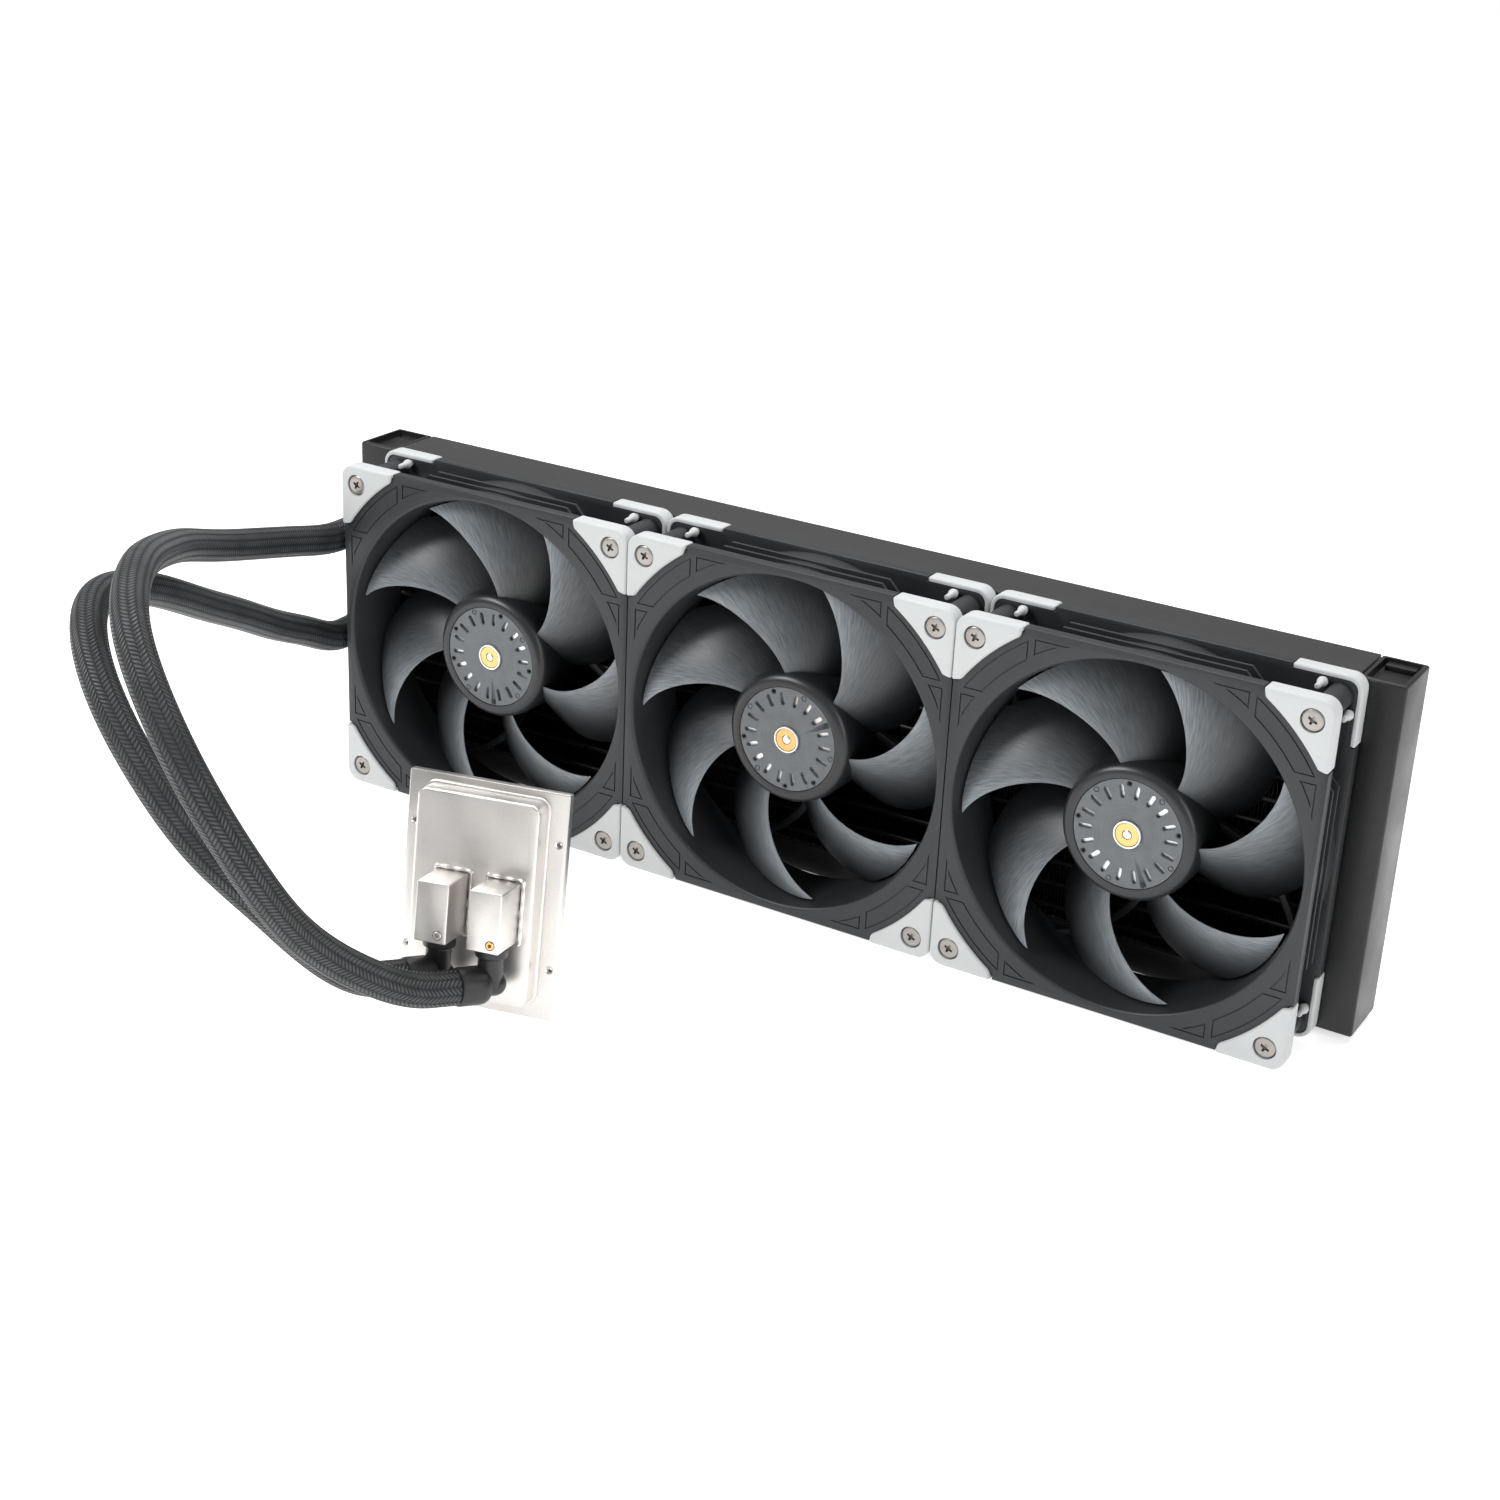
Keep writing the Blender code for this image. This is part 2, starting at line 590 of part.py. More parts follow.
def side_plate_shape(outer_z, inward):
    """U-channel with its web outside and the screw holes in its front and rear flanges."""
    x0 = PORT_TANK_X1 + GAP
    x1 = FAR_TANK_X0 - GAP
    inner_z = outer_z + inward * (SIDE_PLATE_HEIGHT - GAP)
    body = box((x0, x1), (RADIATOR_FRONT_Y, RADIATOR_REAR_Y), sorted((outer_z, inner_z)))
    web = outer_z + inward * SIDE_PLATE_WALL
    hollow = box((x0 - 1, x1 + 1), (RADIATOR_FRONT_Y + SIDE_PLATE_WALL, RADIATOR_REAR_Y - SIDE_PLATE_WALL),
                 sorted((web, inner_z + inward)))
    body = cut(body, hollow)
    hole_z = outer_z + inward * (HOLE_INSET - RADIATOR_INSET_Z)
    for index in range(FAN_COUNT):
        for side in (-1, 1):
            x = (index - (FAN_COUNT - 1) / 2) * FAN_PITCH + side * HOLE_OFFSET
            hole = cylinder(SCREW_HOLE_RADIUS, RADIATOR_FRONT_Y - 1, RADIATOR_REAR_Y + 1, 10)
            body = cut(body, moved(hole, x, 0, hole_z))
    return body


def core_shape():
    """Header plates, flat tubes and the fin packs between them, brazed into one piece."""
    x0 = PORT_TANK_X1 + GAP
    x1 = FAR_TANK_X0 - GAP
    front = RADIATOR_FRONT_Y + FIN_SET_BACK
    rear = RADIATOR_REAR_Y - FIN_SET_BACK
    pitch = (CORE_Z1 - CORE_Z0) / TUBE_COUNT
    outline = []
    for index in range(TUBE_COUNT):
        low = CORE_Z0 + pitch * (index + 0.5) - TUBE_HEIGHT / 2
        outline += [(front, low), (front - 0.6, low), (front - 0.6, low + TUBE_HEIGHT),
                    (front, low + TUBE_HEIGHT)]
    outline = [(front, CORE_Z0), *outline, (front, CORE_Z1)]
    outline += [(front + rear - y, z) for y, z in outline[::-1]]
    count = len(outline)
    points = [(x, y, z) for x in (x0 + HEADER_THICKNESS / 2, x1 - HEADER_THICKNESS / 2) for y, z in outline]
    faces = [tuple(range(count)), tuple(range(2 * count - 1, count - 1, -1))]
    faces += [(i, (i + 1) % count, (i + 1) % count + count, i + count) for i in range(count)]
    body = shape("core", points, faces)
    limits = (RADIATOR_FRONT_Y + 0.1, RADIATOR_REAR_Y - 0.1)
    for low, high in ((x0, x0 + HEADER_THICKNESS), (x1 - HEADER_THICKNESS, x1)):
        body = union(body, box((low, high), limits, (CORE_Z0, CORE_Z1)))
    return body


def fitting_shape():
    """Round collar on the tank's face with a spigot into the port."""
    face = RADIATOR_FRONT_Y - GAP
    spigot = PORT_HOLE_RADIUS - GAP
    return turned([(3.2, face - FITTING_LENGTH), (FERRULE_RADIUS - 1.1, face - FITTING_LENGTH),
                   (FERRULE_RADIUS - 0.3, face - FITTING_LENGTH + 0.8), (FERRULE_RADIUS - 0.3, face),
                   (spigot, face), (spigot, face + TANK_WALL + 2), (3.2, face + TANK_WALL + 2)])


def ferrule_shape(low, high):
    """Crimped sleeve between two points along y."""
    return turned([(0, low), (FERRULE_RADIUS - 0.6, low), (FERRULE_RADIUS, low + 0.8),
                   (FERRULE_RADIUS, high - 0.8), (FERRULE_RADIUS - 0.6, high), (0, high)])


def add_radiator(looks):
    port_tank = tank_shape(PORT_TANK_X0, PORT_TANK_X1, 1)
    for z in (UPPER_PORT_Z, LOWER_PORT_Z):
        hole = cylinder(PORT_HOLE_RADIUS, RADIATOR_FRONT_Y - 1, RADIATOR_FRONT_Y + TANK_WALL + 1)
        port_tank = cut(port_tank, moved(hole, PORT_X, 0, z))
    finished("port_tank", port_tank, looks["black"])
    finished("far_tank", tank_shape(FAR_TANK_X0, FAR_TANK_X1, -1), looks["black"])
    finished("top_side_plate", side_plate_shape(RADIATOR_Z1, -1), looks["black"])
    finished("bottom_side_plate", side_plate_shape(RADIATOR_Z0, 1), looks["black"])
    finished("radiator_core", core_shape(), looks["black"])
    fitting_face = RADIATOR_FRONT_Y - GAP - FITTING_LENGTH
    ferrule_high = fitting_face - GAP
    ferrule_low = ferrule_high - RADIATOR_FERRULE_LENGTH
    for side, z in (("upper", UPPER_PORT_Z), ("lower", LOWER_PORT_Z)):
        at = (PORT_X, 0, z)
        finished(f"{side}_port_fitting", moved(fitting_shape(), *at), looks["black"], at)
        ferrule = ferrule_shape(ferrule_low, ferrule_high)
        finished(f"{side}_radiator_ferrule", moved(ferrule, *at), looks["black"], at)


# Hoses ---------------------------------------------------------------------------------------------


def elbow_direction():
    turn = math.radians(ELBOW_TURN_DEG)
    return (-BLOCK_X * math.cos(turn) + BLOCK_OUT * math.sin(turn)).normalized()


def elbow_point(box_x):
    return BLOCK_MATRIX @ Vector((box_x, ELBOW_AXIS_Y, ELBOW_AXIS_D))


def smooth_route(route, start_direction, end_direction, spacing):
    """Evenly spaced points on the cubic spline through a route whose ends are short straights."""
    points = np.array(route, float)
    first = points[0].copy()
    last = points[-1].copy()
    points[0] += HOSE_STRAIGHT * np.array(start_direction)
    points[-1] -= HOSE_STRAIGHT * np.array(end_direction)
    spans = np.linalg.norm(np.diff(points, axis=0), axis=1)
    knots = np.concatenate(([0.0], np.cumsum(spans)))
    count = len(points)
    matrix = np.zeros((count, count))
    right = np.zeros((count, 3))
    matrix[0, 0] = 1
    matrix[-1, -1] = 1
    right[0] = start_direction
    right[-1] = end_direction
    for i in range(1, count - 1):
        before = spans[i - 1]
        after = spans[i]
        matrix[i, i - 1:i + 2] = (after, 2 * (before + after), before)
        right[i] = 3 * (after * (points[i] - points[i - 1]) / before + before * (points[i + 1] - points[i]) / after)
    slopes = np.linalg.solve(matrix, right)
    fine = np.linspace(0, knots[-1], 2000)
    which = np.clip(np.searchsorted(knots, fine, side="right") - 1, 0, count - 2)
    span = spans[which][:, None]
    t = ((fine - knots[which]) / spans[which])[:, None]
    curve = ((1 + 2 * t) * (1 - t) ** 2 * points[which] + t * (1 - t) ** 2 * span * slopes[which]
             + t ** 2 * (3 - 2 * t) * points[which + 1] - t ** 2 * (1 - t) * span * slopes[which + 1])
    lengths = np.concatenate(([0.0], np.cumsum(np.linalg.norm(np.diff(curve, axis=0), axis=1))))
    wanted = np.linspace(0, lengths[-1], max(2, round(lengths[-1] / spacing) + 1))
    inner = np.stack([np.interp(wanted, lengths, curve[:, axis]) for axis in range(3)], axis=1)
    return np.vstack((first, inner, last))


def add_hose(name, route, look):
    """A hose as a round curve through its smoothed route."""
    end = -np.array(elbow_direction())
    points = smooth_route(route, (0, -1, 0), end, HOSE_POINT_SPACING)
    curve = bpy.data.curves.new(name, "CURVE")
    curve.dimensions = "3D"
    curve.bevel_depth = HOSE_DIAMETER / 2 * MM
    curve.bevel_resolution = 4
    curve.use_fill_caps = True
    curve.materials.append(look)
    spline = curve.splines.new("POLY")
    spline.points.add(len(points) - 1)
    for target, point in zip(spline.points, points):
        target.co = (*((point - np.array(BASE_CENTRE)) * MM), 1)
    made = bpy.data.objects.new(name, curve)
    bpy.context.scene.collection.objects.link(made)


def add_hoses(looks):
    add_hose("upper_hose", UPPER_ROUTE, looks["hose"])
    add_hose("lower_hose", LOWER_ROUTE, looks["hose"])


# Cooling block -------------------------------------------------------------------------------------


def block_box(x, y, d):
    """A block in the cooling block's own frame."""
    return box(x, y, d)


def block_finished(name, made, look):
    return finished(name, placed(made, BLOCK_MATRIX), look, BLOCK_ORIGIN)


def block_round(radius, low, high, x, y, steps=ROUND_STEPS):
    """A cylinder along the block's outward axis."""
    upright = Matrix.Translation((x, y, 0)) @ Matrix.Rotation(math.radians(90), 4, "X")
    return placed(cylinder(radius, low, high, steps), upright)


def rounded_block(x, y, d, radius):
    """A block with round corners in its own x-y plane."""
    outline = []
    for quarter, (cx, cy) in enumerate(((x[1] - radius, y[1] - radius), (x[0] + radius, y[1] - radius),
                                        (x[0] + radius, y[0] + radius), (x[1] - radius, y[0] + radius))):
        outline += arc(radius, 90 * quarter, 90 * quarter + 90, 4, (cx, cy))
    count = len(outline)
    points = [(px, py, level) for level in d for px, py in outline]
    faces = [tuple(range(count)), tuple(range(2 * count - 1, count - 1, -1))]
    faces += [(i, (i + 1) % count, (i + 1) % count + count, i + count) for i in range(count)]
    return shape("rounded", points, faces)


def grown(limits, by):
    return (limits[0] - by, limits[1] + by)


def mounting_plate_shape():
    plate = block_box((0, PLATE_WIDTH), (0, PLATE_HEIGHT), (-PLATE_THICKNESS, 0))
    cutters = [block_box(grown(COLD_PLATE_X, GAP), grown(COLD_PLATE_Y, GAP), (-PLATE_THICKNESS - 1, 1))]
    for sx in (-1, 1):
        for sy in (-1, 1):
            x = PLATE_WIDTH / 2 + sx * PLATE_HOLE_SPACING_X / 2
            y = PLATE_HOLE_CENTRE_Y + sy * PLATE_HOLE_SPACING_Y / 2
            cutters.append(block_round(PLATE_HOLE_RADIUS, -1, PLATE_THICKNESS + 1, x, y, 12))
    return cut(plate, *cutters)


def housing_shape():
    step = rounded_block(grown(HOUSING_X, HOUSING_STEP), grown(HOUSING_Y, HOUSING_STEP),
                         (GAP, HOUSING_STEP_HEIGHT), 4.5)
    body = rounded_block(HOUSING_X, HOUSING_Y, (GAP + 0.5, HOUSING_HEIGHT), 3.5)
    return union(bevelled(body, 0.7), step)


def port_box_shape(centre_x):
    """Port box with the braze lip at its foot and the closing plug's hole."""
    x = (centre_x - PORT_BOX_WIDTH / 2, centre_x + PORT_BOX_WIDTH / 2)
    foot = HOUSING_HEIGHT + GAP
    body = bevelled(block_box(x, PORT_BOX_Y, (foot, PORT_BOX_TOP)), 0.5)
    lip = block_box(grown(x, BRAZE_LIP), grown(PORT_BOX_Y, BRAZE_LIP), (foot, foot + 1.0))
    plug_hole = placed(cylinder(PLUG_RADIUS + GAP, 0, 4, 16), plug_matrix(centre_x, 0.5))
    return cut(union(body, lip), plug_hole)


def plug_matrix(centre_x, above):
    """Places a shape that starts at y = 0 so that it goes into the box's front, from above it."""
    x = centre_x + PORT_BOX_WIDTH / 2 - 3.2
    y = PORT_BOX_Y[0] + 3.0
    return Matrix.Translation((x, y, PORT_BOX_TOP + above)) @ Matrix.Rotation(math.radians(-90), 4, "X")


def elbow_shape(centre_x):
    """Elbow under a port box: collar, stub, barrel and the shoulder of the hose outlet."""
    turn = math.radians(ELBOW_TURN_DEG)
    centre = Vector((centre_x, ELBOW_AXIS_Y, ELBOW_AXIS_D))
    top = PORT_BOX_Y[0] - ELBOW_AXIS_Y - BRAZE_LIP - GAP
    stub = turned([(0, 0), (STUB_RADIUS, 0), (STUB_RADIUS, top - 4.2), (STUB_RADIUS + 1.3, top - 4.2),
                   (STUB_RADIUS + 1.3, top), (0, top)], 20)
    barrel = turned([(0, -6), (BARREL_RADIUS - 1.4, -5.8), (BARREL_RADIUS, -4.4), (BARREL_RADIUS, SHOULDER_START - 0.6),
                     (FERRULE_RADIUS - 0.9, SHOULDER_START), (FERRULE_RADIUS, SHOULDER_START + 0.9),
                     (FERRULE_RADIUS, SHOULDER_END - 0.5), (FERRULE_RADIUS - 0.5, SHOULDER_END), (0, SHOULDER_END)], 20)
    direction = Vector((-math.cos(turn), 0, math.sin(turn)))
    aim = Vector((0, 1, 0)).rotation_difference(direction).to_matrix().to_4x4()
    placed(barrel, aim)
    return placed(union(stub, barrel), Matrix.Translation(centre))


def block_ferrule_shape(centre_x):
    turn = math.radians(ELBOW_TURN_DEG)
    direction = Vector((-math.cos(turn), 0, math.sin(turn)))
    aim = Vector((0, 1, 0)).rotation_difference(direction).to_matrix().to_4x4()
    made = placed(ferrule_shape(SHOULDER_END + GAP, BLOCK_FERRULE_END), aim)
    return placed(made, Matrix.Translation((centre_x, ELBOW_AXIS_Y, ELBOW_AXIS_D)))


def add_block(looks):
    block_finished("mounting_plate", mounting_plate_shape(), looks["nickel"])
    block_finished("block_housing", housing_shape(), looks["nickel"])
    cold = block_box(COLD_PLATE_X, COLD_PLATE_Y, (-PLATE_THICKNESS - COLD_PLATE_PROUD, 0))
    block_finished("cold_plate", cold, looks["copper"])
    hoses = ("lower", "upper")
    for side, hose, centre_x in zip(("left", "right"), hoses, PORT_BOX_CENTRES_X):
        block_finished(f"{side}_port_box", port_box_shape(centre_x), looks["nickel"])
        plug = placed(cylinder(PLUG_RADIUS, 0, 3, 16), plug_matrix(centre_x, 0.3))
        block_finished(f"{side}_plug", plug, looks["brass" if side == "right" else "nickel"])
        block_finished(f"{side}_elbow", elbow_shape(centre_x), looks["black"])
        block_finished(f"{hose}_block_ferrule", block_ferrule_shape(centre_x), looks["black"])


def main():
    clear_scene()
    looks = {
        "frame": material("frame_plastic", (0.068, 0.073, 0.078), 0.55),
        "blade": material("blade_plastic", (0.11, 0.12, 0.13), 0.5),
        "pad": material("pad_rubber", (0.56, 0.58, 0.58), 0.7),
        "steel": material("motor_steel", (0.6, 0.6, 0.6), 0.3, 1.0),
        "copper": material("copper", (0.72, 0.36, 0.2), 0.4, 1.0),
        "nickel": material("nickel", (0.62, 0.6, 0.57), 0.3, 1.0),
        "brass": material("brass", (0.7, 0.5, 0.25), 0.3, 1.0),
        "black": material("black_paint", (0.03, 0.032, 0.034), 0.5),
        "hose": material("hose_sleeve", (0.02, 0.02, 0.022), 0.75),
    }
    add_fans(looks)
    add_radiator(looks)
    add_hoses(looks)
    add_block(looks)


main()
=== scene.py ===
"""Liquid cooling radiator: camera, studio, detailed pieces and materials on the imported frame.

Lengths are in millimetres until a piece is made. In these script coordinates x = 0 is the middle
fan's axis, y = 0 lies just behind the front of its frame, +y points to the radiator, and z is up.
"""

from math import acos, asin, cos, degrees, hypot, pi, radians, sin, sqrt

import bmesh
import bpy
import numpy as np
from mathutils import Matrix, Vector


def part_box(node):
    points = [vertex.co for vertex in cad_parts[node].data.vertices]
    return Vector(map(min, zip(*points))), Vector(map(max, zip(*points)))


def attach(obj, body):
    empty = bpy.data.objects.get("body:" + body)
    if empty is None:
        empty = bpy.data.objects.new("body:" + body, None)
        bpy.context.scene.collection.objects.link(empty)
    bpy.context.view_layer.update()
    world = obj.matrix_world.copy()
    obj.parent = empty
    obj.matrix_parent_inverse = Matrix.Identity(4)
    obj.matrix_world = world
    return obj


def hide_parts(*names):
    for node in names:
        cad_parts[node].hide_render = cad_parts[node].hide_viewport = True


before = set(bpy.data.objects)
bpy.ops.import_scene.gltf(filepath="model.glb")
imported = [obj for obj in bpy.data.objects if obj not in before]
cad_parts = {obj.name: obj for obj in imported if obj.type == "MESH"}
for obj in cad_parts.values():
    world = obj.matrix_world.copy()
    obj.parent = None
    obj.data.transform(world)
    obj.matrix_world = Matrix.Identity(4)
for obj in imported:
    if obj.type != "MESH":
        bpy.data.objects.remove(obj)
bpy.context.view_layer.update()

MM = 0.001
ROUND_STEPS = 64
BOX_FACES = ((0, 1, 3, 2), (4, 6, 7, 5), (0, 4, 5, 1), (2, 3, 7, 6), (0, 2, 6, 4), (1, 5, 7, 3))

# Places taken from the frame
FAN_BOXES = [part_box(f"fan_{index}_frame") for index in (1, 2, 3)]
FRAME_FRONT_Y = -0.3
SHIFT = Vector((
    (FAN_BOXES[1][0][0] + FAN_BOXES[1][1][0]) / 2,
    FAN_BOXES[1][0][1] - FRAME_FRONT_Y * MM,
    0,
))
FAN_HALF = (FAN_BOXES[0][1][2] - FAN_BOXES[0][0][2]) / 2 / MM
FAN_CENTRES = [Vector(((low[0] + high[0]) / 2 / MM - SHIFT.x / MM, 0, FAN_HALF))
               for low, high in FAN_BOXES]

# Fan housing
FRAME_REAR_Y = 30.7
FLANGE_THICKNESS = 4.6
FRAME_WALL = 3.5
BORE_RADIUS = FAN_HALF - FRAME_WALL
DUCT_RADIUS = BORE_RADIUS - 0.7
DUCT_THICKNESS = 2.9
POST_RADIUS = 4.6
CORNER_RADIUS = 5.5
HOLE_OFFSET = FAN_HALF - 7.75
SCREW_HEAD_RADIUS = 4.0
SCREW_HOLE_RADIUS = 2.25
SCREW_SEAT_DEPTH = 2.2
# Radius and depth behind the head's front
SCREW_HEAD_PROFILE = ((0, 0), (3.3, 0), (3.75, 0.12), (4.1, 0.5), (4.15, 1.6), (4.05, 3.5),
                      (1.9, 3.5))
CUP_RADIUS = 22.0
STRUT_DEPTH = 3.2
STRUT_START_DEG = 7.9
STRUT_SWEEP_DEG_PER_MM = -0.82
GROOVE_WIDTH = 0.55
GROOVE_DEPTH = 0.45
PANEL_RADII = (71.7, 78.0)
PANEL_SIDE = 42.0       # where a curved panel ends, from the fan's middle lines
PANEL_EDGE = FAN_HALF - 3.4
TRIANGLE_NEAR = 39.7
TRIANGLE_RADIUS = 72.3
MOUTH_RADIUS = 1.4
RIB_LEVELS = (9.6, 15.4)
RIB_THICKNESS = 1.3
RIB_OUTLINE = ((-43.0, 52), (-43.0, 60.0), (-34.0, FAN_HALF - 0.6),
               (34.0, FAN_HALF - 0.6), (43.0, 60.0), (43.0, 52))
STRUT_HALF_WIDTH = 1.7

# Corner pads
PAD_LEG = 25.6
PAD_FRONT_Y = -1.8
PAD_PLATE = 1.2
PAD_WALL = 1.7
PAD_WRAP = 7.5
PAD_ARC_RADIUS = 80.3
PAD_TIP_DEPTH = 3.6
REAR_PAD_Y = (25.7, 32.8)
PAD_PIN_PLACES = ((56.1, 66.4), (66.6, 56.8))
# Radius and distance ahead of the pin's root
PAD_PIN_PROFILE = ((0, 8.2), (0.7, 8.1), (1.05, 7.7), (1.15, 4.6), (1.5, 4.1), (1.85, 3.2),
                   (1.9, 2.4), (1.6, 1.6), (1.2, 1.3), (1.2, 0), (0, 0))

# Impeller
HUB_RADIUS = 26.5
HUB_DISC_RADIUS = 21.0
TIP_RADIUS = DUCT_RADIUS - 1.2
BLADE_COUNT = 7
BLADE_THICKNESS = 1.5
HUB_STEPS = 144
HUB_INSIDE_Y = 7.3
SLOT_COUNT = 18
SLOT_RADII = (13.6, 19.0)
SLOT_WIDTH = 1.7
SLOT_PHASE_DEG = 1.1 + 10
DIMPLE_PLACE_RADIUS = 19.4
DIMPLE_RADIUS = 1.15
DIMPLE_CORE_RADIUS = 0.7
IMPELLER_TURN_DEG = (-16.1, 99.5, 3.0)
# Share of the way from hub to tip, then angle and depth of the leading edge and of the trailing one
BLADE_STATIONS = (
    (-0.04, -1.4, 8.6, -43.0, 26.0),
    (0.04, 0.1, 8.1, -41.3, 26.0),
    (0.26, 6.1, 6.4, -36.0, 25.8),
    (0.45, 11.7, 5.3, -31.0, 25.3),
    (0.68, 19.1, 4.5, -23.0, 24.1),
    (0.86, 24.9, 4.3, -13.2, 22.2),
    (1.0, 30.5, 4.5, -5.0, 19.6),
)

# Radiator
TUBE_COUNT = 12
TUBE_HEIGHT = 2.0
FIN_PITCH = 1.45
FIN_THICKNESS = 0.16
# Radius and depth behind the port fitting's front
COLLAR_PROFILE = ((0, 0), (5.4, 0), (6.2, 0.5), (6.6, 1.3), (6.6, 3.0), (6.2, 3.3), (6.2, 3.8),
                  (6.6, 4.1), (6.6, 5.8), (0, 5.8))

# Hoses: the same routes as the CAD model's
HOSE_DIAMETER = 12.7
HOSE_STRAIGHT = 8.0
UPPER_ROUTE = (
    (-219.5, 15.0, 105.0), (-219, -17, 109), (-215, -48, 117), (-208, -79, 126), (-197, -107, 136),
    (-181, -134, 145), (-163, -160, 153), (-144, -185, 158), (-123, -209, 153), (-100, -223, 135),
    (-82, -224, 109), (-70, -215, 80), (-63, -199, 53), (-51.3, -178.2, 32.4),
    (-37.2, -151.7, 21.5),
)
LOWER_ROUTE = (
    (-219.5, 15.0, 61.3), (-219, -13, 68), (-215, -39, 80), (-210, -64, 93), (-204, -90, 106),
    (-199, -115, 119), (-193, -141, 130), (-182, -167, 135), (-164, -188, 130), (-143, -201, 116),
    (-123, -204, 95), (-105, -200, 73), (-86, -191, 53), (-70.3, -178.2, 32.4),
    (-56.3, -156.2, 21.5),
)
FERRULE_RADIUS = 6.9
FERRULE_ROLL = 0.9
FERRULE_SHOULDER = ((0, 0.6), (4.5, 0.6), (5.0, 0.75), (5.9, 1.5), (6.55, 2.6), (6.85, 3.8))
BLOCK_FERRULE_LENGTH = 12.6
ROUTE_STEP = 2.0
HOSE_SIDES = 40
BRAID_COLUMNS = 14.0
BRAID_SLANT = 1.3
BRAID_STRAND_CM = 0.16

# Cooling block, in its own frame: x along the plate, y up the plate, d out of its front
BLOCK_FOOT = (-76.0, -136.1)
BLOCK_YAW_DEG = 13.494
BLOCK_LEAN_DEG = 10.21
PLATE_WIDTH = 60.65
PLATE_HEIGHT = 83.2
PLATE_THICKNESS = 3.5
PLATE_HOLE_SPACING = (54.8, 45.9)
PLATE_HOLE_CENTRE_Y = 41.75
HOUSING_X = (7.4, 53.3)
HOUSING_Y = (6.0, 80.0)
HOUSING_HEIGHT = 9.5
PORT_BOX_WIDTH = 12.0
PORT_BOX_CENTRES_X = (23.1, 42.75)
PORT_BOX_Y = (30.3, 52.0)
PORT_BOX_TOP = 27.0
ELBOW_AXIS = (16.3, 18.0)
ELBOW_TURN_DEG = 48.0
WINDOW_X = (12.0, 48.6)
WINDOW_Y = (17.7, 66.3)
COLD_BASE_X = (12.3, 48.3)
COLD_BASE_Y = (18, 66)
COLD_BASE_DEPTH = 4.5
HOUSING_STEP = 1.0
HOUSING_STEP_HEIGHT = 1.8
PLUG_INSET = (3.2, 3.0)     # from a port box's right and lower sides
BEAD_RADIUS = 0.75
BEAD_SIDES = 10
BEAD_STEP = 0.7

# Camera
CAMERA_PLACE = (420.8, -742.8, 437.8)
CAMERA_AZIMUTH_DEG = 30.26
CAMERA_ELEVATION_DEG = 23.47
CAMERA_ROLL_DEG = 2.73
LENS_MM = 58.89
SENSOR_MM = 36

# Studio: name, place and size in metres, power in watts
LIGHT_AIM = (0.0, 0.0, 0.07)
LIGHTS = (
    ("key", (-0.75, -0.75, 0.95), (0.6, 0.45), 12),
    ("top", (0.0, 0.3, 0.9), (1.2, 0.3), 7),
    ("side", (1.2, -0.35, 0.5), (0.3, 0.8), 3.5),
)
WORLD_STRENGTH = 0.42
FLOOR_SIZE = 12
FLOOR_LEVEL = -0.0005
FLOOR_GLOW = 0.62


def block_matrix():
    yaw = radians(BLOCK_YAW_DEG)
    lean = radians(BLOCK_LEAN_DEG)
    across = Vector((cos(yaw), sin(yaw), 0))
    out = Vector((sin(yaw) * cos(lean), -cos(yaw) * cos(lean), sin(lean)))
    up = out.cross(across)
    foot = Vector((*BLOCK_FOOT, PLATE_THICKNESS * sin(lean)))
    made = Matrix.Identity(4)
    for column, direction in enumerate((across, up, out, foot)):
        for row in range(3):
            made[row][column] = direction[row]
    return made


BLOCK_MATRIX = block_matrix()


# ==== Camera and studio ====


def linked(name, data):
    """A new object in the scene that holds this data."""
    made = bpy.data.objects.new(name, data)
    bpy.context.scene.collection.objects.link(made)
    return made


def add_camera():
    azimuth = radians(CAMERA_AZIMUTH_DEG)
    elevation = radians(CAMERA_ELEVATION_DEG)
    roll = radians(CAMERA_ROLL_DEG)
    back = Vector((sin(azimuth) * cos(elevation), -cos(azimuth) * cos(elevation),
                   sin(elevation)))
    right = Vector((cos(azimuth), sin(azimuth), 0))
    up = back.cross(right)
    level = (right * cos(roll) + up * sin(roll), up * cos(roll) - right * sin(roll), back)
    data = bpy.data.cameras.new("camera")
    data.lens = LENS_MM
    data.sensor_width = SENSOR_MM
    data.clip_start = 0.01
    data.clip_end = 50
    camera = linked("camera", data)
    turn = Matrix(level).transposed().to_4x4()
    camera.matrix_world = Matrix.Translation(Vector(CAMERA_PLACE) * MM + SHIFT) @ turn
    bpy.context.scene.camera = camera


def add_light(name, place, size, power):
    data = bpy.data.lights.new(name, "AREA")
    data.shape = "RECTANGLE"
    data.size = size[0]
    data.size_y = size[1]
    data.energy = power
    light = linked(name, data)
    light.location = place
    light.rotation_euler = (Vector(LIGHT_AIM) - Vector(place)).to_track_quat("-Z", "Y").to_euler()


